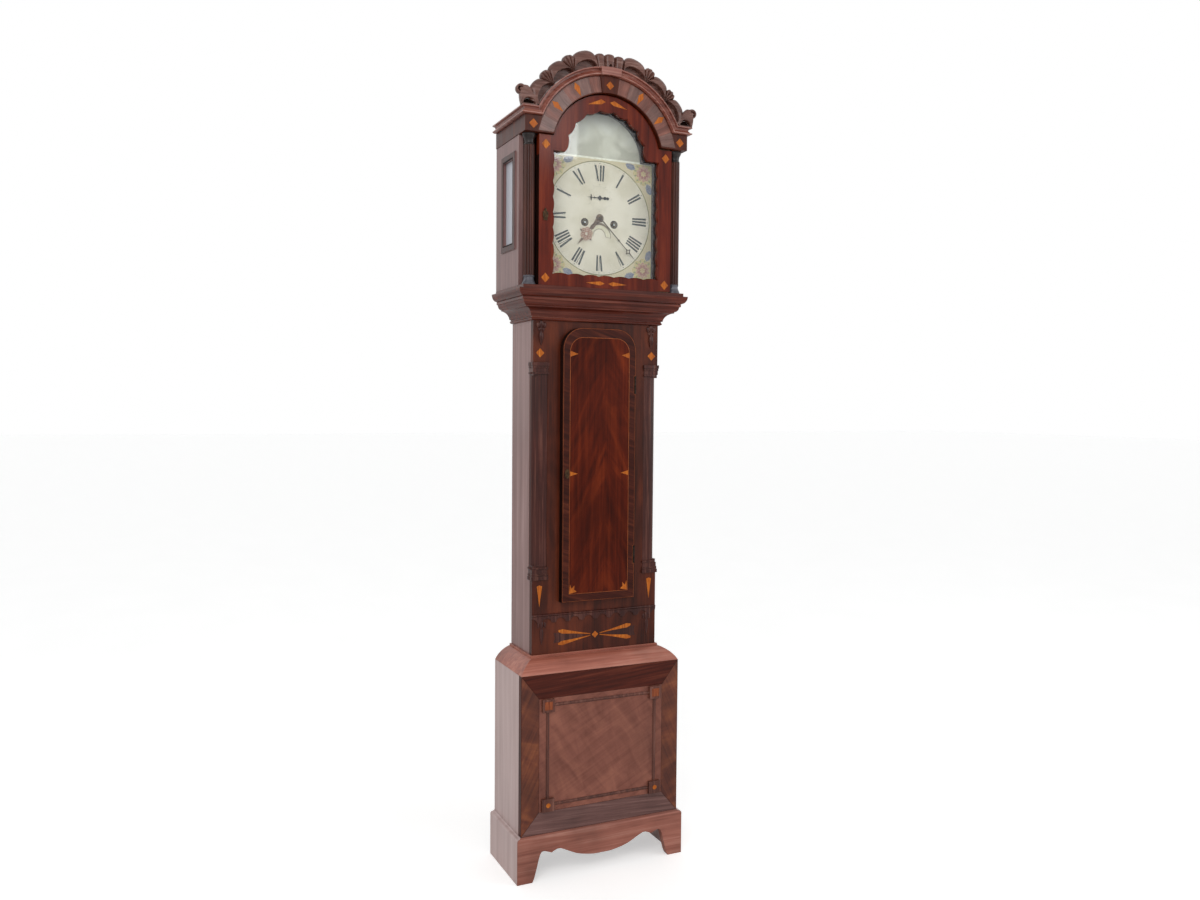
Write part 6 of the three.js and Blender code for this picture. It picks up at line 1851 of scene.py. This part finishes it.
@dataclass
class Dial:
    """The painted dial: numerals, tracks, lines, corner flowers, date slot and collets."""

    numeral_foot: float = 98.0
    numeral_head: float = 140.0
    thick: float = 5.0
    thin: float = 1.5
    hair: float = 0.6
    numerals: tuple[str, ...] = (
        "XII", "I", "II", "III", "IIII", "V", "VI", "VII", "VIII", "IX", "X", "XI")
    circle: float = 150.0
    plate_edge: tuple[float, float, float] = (163.5, 1583.5, 1901)
    corner_across: float = 131.0
    corner_rise: float = 130.0
    leaf: Points = ((0, 27), (8, 36), (9, 49), (3, 58), (-3, 58), (-9, 49), (-8, 36))
    sprig: Points = ((0, 21), (2.6, 25.5), (0, 30), (-2.6, 25.5))
    slot_centre: float = 1701.0
    slot_outer: float = 33.5
    slot_inner: float = 18.0
    slot_sweep: float = 97.0
    slot_shade: float = 5.2
    winding: Point = (43, 1733.5)

    @cached_property
    def face(self) -> float:
        """Finds the depth of the dial's front."""
        return front_depth("dial", 100, 1650)

    def build(self) -> None:
        """Paints everything that the dial shows."""
        dress(DIAL_PAINT, "dial")
        self._numerals()
        self._tracks()
        self._corners()
        self._date_slot()
        self._collets()

    def _strokes(self, letters: str) -> list[Outline]:
        """Lays out a numeral with its feet at height 0 and its head at 1.

        Args:
            letters: The numeral, in the letters I, V and X.

        Returns:
            Its strokes, with places across in millimetres.
        """
        # Each letter's width, and the head, foot and width of each of its strokes
        shapes = {"I": (7.7, [(0, 0, self.thick)]),
                  "V": (11.5, [(-3.2, -0.4, self.thick), (4.2, 1.6, self.thin)]),
                  "X": (13.5, [(-4, 3.4, self.thick), (4.4, -4, self.hair)])}
        left = -sum(shapes[letter][0] for letter in letters) / 2
        strokes: list[Outline] = []
        for wide, runs in (shapes[letter] for letter in letters):
            middle = left + wide / 2
            left += wide
            for head, foot, width in runs:
                top, low, half = middle + head, middle + foot, width / 2
                strokes.append([(low - half, 0), (low + half, 0), (top + half, 1), (top - half, 1)])
        return strokes

    def _numerals(self) -> None:
        """Paints the numerals, with their feet to the centre, widening a little outwards."""
        outlines = []
        for hour, letters in enumerate(self.numerals):
            for stroke in self._strokes(letters):
                raised = [(x * (0.9 + 0.2 * z), self.numeral_foot
                           + (self.numeral_head - self.numeral_foot) * z) for x, z in stroke]
                outlines.append(swung(raised, 30 * hour, (0, DIAL_CENTRE)))
        place_piece("dial_numerals", laid(outlines, self.face, 0.12, 0.01), INK, "case")

    def _tracks(self) -> None:
        """Draws the minute marks, the outer circle, the seconds ring and the arch border."""
        dots = dotted_ring_recipe()
        marks = [dots.grow(INK, {
            "Count": count, "Ring": radius * MM, "Rod": mark * MM, "Length": 0.16 * MM,
            "Forward": (BACK_PLANE - self.face - 0.08) * MM, "Height": height * MM})
            for count, radius, mark, height in (
                (60, 144.5, 0.75, DIAL_CENTRE), (12, 144.5, 1.35, DIAL_CENTRE),
                (60, 30.5, 0.4, SECONDS_CENTRE), (12, 35, 0.8, SECONDS_CENTRE))]
        place_piece("dial_minute_marks", marks, INK, "case")
        circle = draw_line(
            ring(self.circle, 0, DIAL_CENTRE, 120), self.face + 0.1, 2.4, GILT_LINE, thickness=0.2)
        place_piece("dial_circle_line", circle, GILT_LINE, "case")
        border, = laid([oblong(-154, 1902, 154, 1907)], self.face, 0.14, 0.05)
        place_piece("dial_arch_border", border, WHITE_LINE, "case")

    def _corners(self) -> None:
        """Paints a plain rosette, a flower and leaves in each corner."""
        layers: dict[Finish, list[Mesh]] = {
            finish: [] for finish in (OCHRE, VIOLET, ROSE, ROSE_DEEP, LEAF)}

        def paint(finish: Finish, outline: Outline, lift: float, top: float) -> None:
            """Adds one shape to a colour's layer, kept off the dial's circle."""
            layers[finish] += laid([self._kept(outline)], self.face, top, lift)

        turns = [tau * step / 48 for step in range(48)]
        rosette = [((30 + 2.4 * cos(8 * turn)) * cos(turn),
                    (30 + 2.4 * cos(8 * turn)) * sin(turn)) for turn in turns]
        for hand, rise in ((hand, rise) for hand in SIDES for rise in SIDES):
            centre = (hand * self.corner_across, DIAL_CENTRE + rise * self.corner_rise)
            lean = degrees(atan2(hand, rise))
            paint(OCHRE, swung(rosette, 0, centre), 0.01, 0.06)
            for side in SIDES:
                paint(VIOLET, swung(self.leaf, lean + side * 112, centre), 0.07, 0.11)
            for petals, reach, width, layer, finish in (
                    (10, 22, 5.4, 0.12, ROSE), (8, 15, 4.2, 0.17, ROSE_DEEP),
                    (6, 8, 2.6, 0.22, OCHRE)):
                shape = [(0, 1), (width, reach * 0.6), (width * 0.6, reach * 0.95),
                         (0, reach), (-width * 0.6, reach * 0.95), (-width, reach * 0.6)]
                start = 0.5 if petals % 4 == 0 else 0
                for petal in range(petals):
                    paint(finish, swung(shape, 360 / petals * (petal + start), centre),
                          layer + 0.003 * (petal % 2), layer + 0.04)
            for sprig in range(7):
                paint(LEAF, swung(self.sprig, lean + 90 + 30 * sprig, centre), 0.08, 0.13)
        for finish, meshes in layers.items():
            place_piece(
                "dial_corner_" + finish.name.split("_dial")[0], meshes, finish, "case")

    def _kept(self, outline: Outline) -> Outline:
        """Keeps a corner's paint on the plate and outside the dial's circle.

        Args:
            outline: The painted shape.

        Returns:
            The shape as far as it may go.
        """
        half, low, high = self.plate_edge
        kept = []
        for across, height in outline:
            across = max(-half, min(half, across))
            rise = max(low, min(high, height)) - DIAL_CENTRE
            grow = max(1, (self.circle + 2) / hypot(across, rise))
            kept.append((across * grow, DIAL_CENTRE + rise * grow))
        return kept

    def _date_slot(self) -> None:
        """Draws the arched date slot below the centre, with its dark rim and upper edge as painted
        shadow.
        """
        middle, outer = self.slot_centre, self.slot_outer
        sweep = [self.slot_sweep * (step / 12 - 1) for step in range(25)]
        rim = [polar(outer, angle, middle) for angle in sweep]
        rim += [polar(self.slot_inner, angle, middle) for angle in reversed(sweep)]
        floor, = laid([rim], self.face, 0.05, 0.01)
        place_piece("dial_date_ring", floor, SLOT_PAINT, "case")
        # The dark rim line and the band along the upper edge are painted shadow
        slot = draw_line(rim, self.face + 0.1, 1.5, SHADOW_PAINT, thickness=0.2)
        lit = sweep[2:23]
        shade = [polar(outer, angle, middle) for angle in lit]
        shade += [polar(outer - self.slot_shade * sin(pi * (place + 1) / 22), angle, middle)
                  for place, angle in reversed(list(enumerate(lit)))]
        place_piece("dial_date_slot", [slot] + laid([shade], self.face, 0.1, 0.06), SHADOW_PAINT,
                    "case")

    def _collets(self) -> None:
        """Sets a brass collet round each winding hole, and ends on the squares that are bright with
        a painted glint.
        """
        height = self.winding[1]
        for hand, side, body in zip(SIDES, ("left", "right"), ("strike_barrel", "going_barrel")):
            across = hand * self.winding[0]
            collet = plate([ring(10.6, across, height), ring(8.1, across, height)],
                           self.face + 0.02, self.face + 0.9, 0.3)
            place_piece("winding_collet_" + side, collet, OLD_BRASS, "case")
            # Each square's end is pale, a painted glint
            square = oblong(across - 2.5, height - 2.5, across + 2.5, height + 2.5)
            tip = front_depth(body, across, height)
            place_piece("winding_square_end_" + side,
                        plate([square], tip + 0.02, tip + 0.9, 0.25), RUBBED_STEEL, body)


@dataclass
class Hands:
    """The pierced hour hand, the thin minute hand and the seconds hand.

    Each hand has the depth of its sheet's middle, and its clockwise degrees from upright.
    """

    hour: Point = (165, 221.25)
    minute: Point = (168.5, 135)
    seconds: Point = (164.2, 270)
    sheet: float = 0.8
    rosette: float = 58.5
    lozenge: float = 118.0

    def build(self) -> None:
        """Cuts the three hands in place of the plain ones."""
        self._hour()
        self._minute()
        self._seconds()

    def _bar(self, start: float, stop: float, wide: float, narrow: float) -> list[Outline]:
        """Gives a tapered bar along a hand."""
        return [[(-wide, start), (wide, start), (narrow, stop), (-narrow, stop)]]

    def _washer(self, outer: float, inner: float, across: float = 0.0, up: float = 0.0,
                steps: Sequence[int] = (24, 24)) -> list[Outline]:
        """Gives a ring with a round hole."""
        return [ring(radius, across, up, count) for radius, count in zip((outer, inner), steps)]

    def _cut(self, shapes: Sequence[Sequence[Outline]], depth: float, thick: float, angle: float,
             height: float, rounding: float = 0.15) -> list[Mesh]:
        """Cuts each shape from sheet and turns it to the time shown.

        Args:
            shapes: Outlines of each part, upright, with their holes.
            depth: Depth of the hand's back.
            thick: The sheet's thickness.
            angle: Clockwise degrees from upright.
            height: Height of its arbor.
            rounding: Radius of the sheet's edges.

        Returns:
            The parts' meshes, each a hair in front of the last.
        """
        return [plate([swung(outline, angle, (0, height)) for outline in outlines],
                      depth + 0.002 * place, depth + thick + 0.002 * place, rounding)
                for place, outlines in enumerate(shapes)]

    def _hour(self) -> None:
        """Cuts the hour hand, with its pierced rosette and leaf point."""
        depth, angle = self.hour
        base, middle = depth - self.sheet / 2, self.rosette
        stem = [
            self._washer(11, 3.2, steps=(36, 24)),
            [[(-8, 6), (8, 6), (4.6, 22), (5.6, 34), (3, 40.5), (-3, 40.5),
              (-5.6, 34), (-4.6, 22)]],
            self._bar(middle + 17, 97.3, 3.2, 0.25)]
        stem += [[mirrored([(17, middle), (22, middle + 3), (17.5, middle + 6)], hand)]
                 for hand in SIDES]
        flower = [self._washer(7.6, 5, 0, middle, (28, 28))]
        for turn in range(6):
            across, up = polar(11.4, 30 + 60 * turn, middle)
            flower += [self._washer(6.6, 4.5, across, up), [ring(2.4, across, up, 14)]]
        meshes = self._cut(stem, base, 0.9, angle, DIAL_CENTRE)
        meshes.append(turned_boss(5, 4.2, 138, base + 1, DIAL_CENTRE))
        place_piece("hour_hand_stem", meshes, BROWNED_BRASS, "hour_pipe", "hour_hand")
        place_piece("hour_hand_rosette", self._cut(flower, base + 0.02, 0.9, angle, DIAL_CENTRE),
                    PINK_BRASS, "hour_pipe", "hour_hand")

    def _minute(self) -> None:
        """Cuts the minute hand: a thin rod, a small lozenge and an open square near its point."""
        depth, angle = self.minute
        base, middle = depth - self.sheet / 2, self.lozenge
        shapes = [
            self._washer(5.4, 1.8, steps=(32, 20)),
            self._bar(4.5, 111.2, 1.3, 0.75),
            self._bar(124.8, 146, 1.5, 0.25),
            [diamond(0, 78, 3.4, 4.6)],
            [diamond(0, middle, 7.6), diamond(0, middle, 4.6)]]
        shapes += [[ring(1.7, *polar(7.6, 90 * turn, middle), 14)] for turn in range(4)]
        meshes = self._cut(shapes, base, 0.8, angle, DIAL_CENTRE)
        meshes.append(turned_boss(2.6, 1.8, 138.5, base + 1.6, DIAL_CENTRE))
        place_piece(
            "slender_minute_hand", meshes, OLD_BRASS, "centre_arbor", "minute_hand")

    def _seconds(self) -> None:
        """Cuts the seconds hand, with a cross near its point and beads on its tail."""
        depth, angle = self.seconds
        base = depth - self.sheet / 2
        shapes = [
            [diamond(0, 0, 7.4)],
            self._bar(3, 34, 1.1, 0.6),
            self._bar(-26, -3, 1.1, 1.1),
            self._bar(24.2, 26.6, 8.5, 7),
            self._washer(4.2, 1.4, 0, -15, (16, 12)),
            self._washer(4, 1.3, 0, -23, (16, 12)),
            [diamond(0, 15.5, 2.6, 3.6)],
            [diamond(0, 25.4, 3)]]
        meshes = self._cut(shapes, base, 0.6, angle, SECONDS_CENTRE, 0.1)
        meshes.append(turned_boss(1.5, 1.1, 160.5, base + 1.2, SECONDS_CENTRE))
        place_piece(
            "seconds_hand_with_cross", meshes, BLUED_STEEL, "escape_arbor", "seconds_hand")


@dataclass
class Movement:
    """The eight-day movement, its pendulum, weights and lines."""

    wheels: tuple[str, ...] = (
        "going_barrel", "strike_barrel", "centre_wheel", "third_wheel", "escape_wheel")

    def build(self) -> None:
        """Dresses the movement and all that hangs from it."""
        dress(BRASS, "back_plate", "front_plate", *self.wheels)
        dress(STEEL, "anchor", "pendulum_rod", "hammer")
        smoothed("bell", BELL_METAL, "case")
        smoothed("pendulum_bob", BRASS, "pendulum")
        smoothed("going_weight", LEAD, "going_weight")
        smoothed("strike_weight", LEAD, "strike_weight")
        dress(GUT, "going_line", "strike_line")


def main() -> None:
    """Builds the studio and the clock's sub-assemblies in order."""
    logging.basicConfig(level=logging.INFO, format="%(message)s")
    for part in (Studio, Base, Trunk, TrunkDoor, Hood, Columns, Cresting, HoodDoor, Dial, Hands,
                 Movement):
        part().build()


if __name__ == "__main__":
    main()
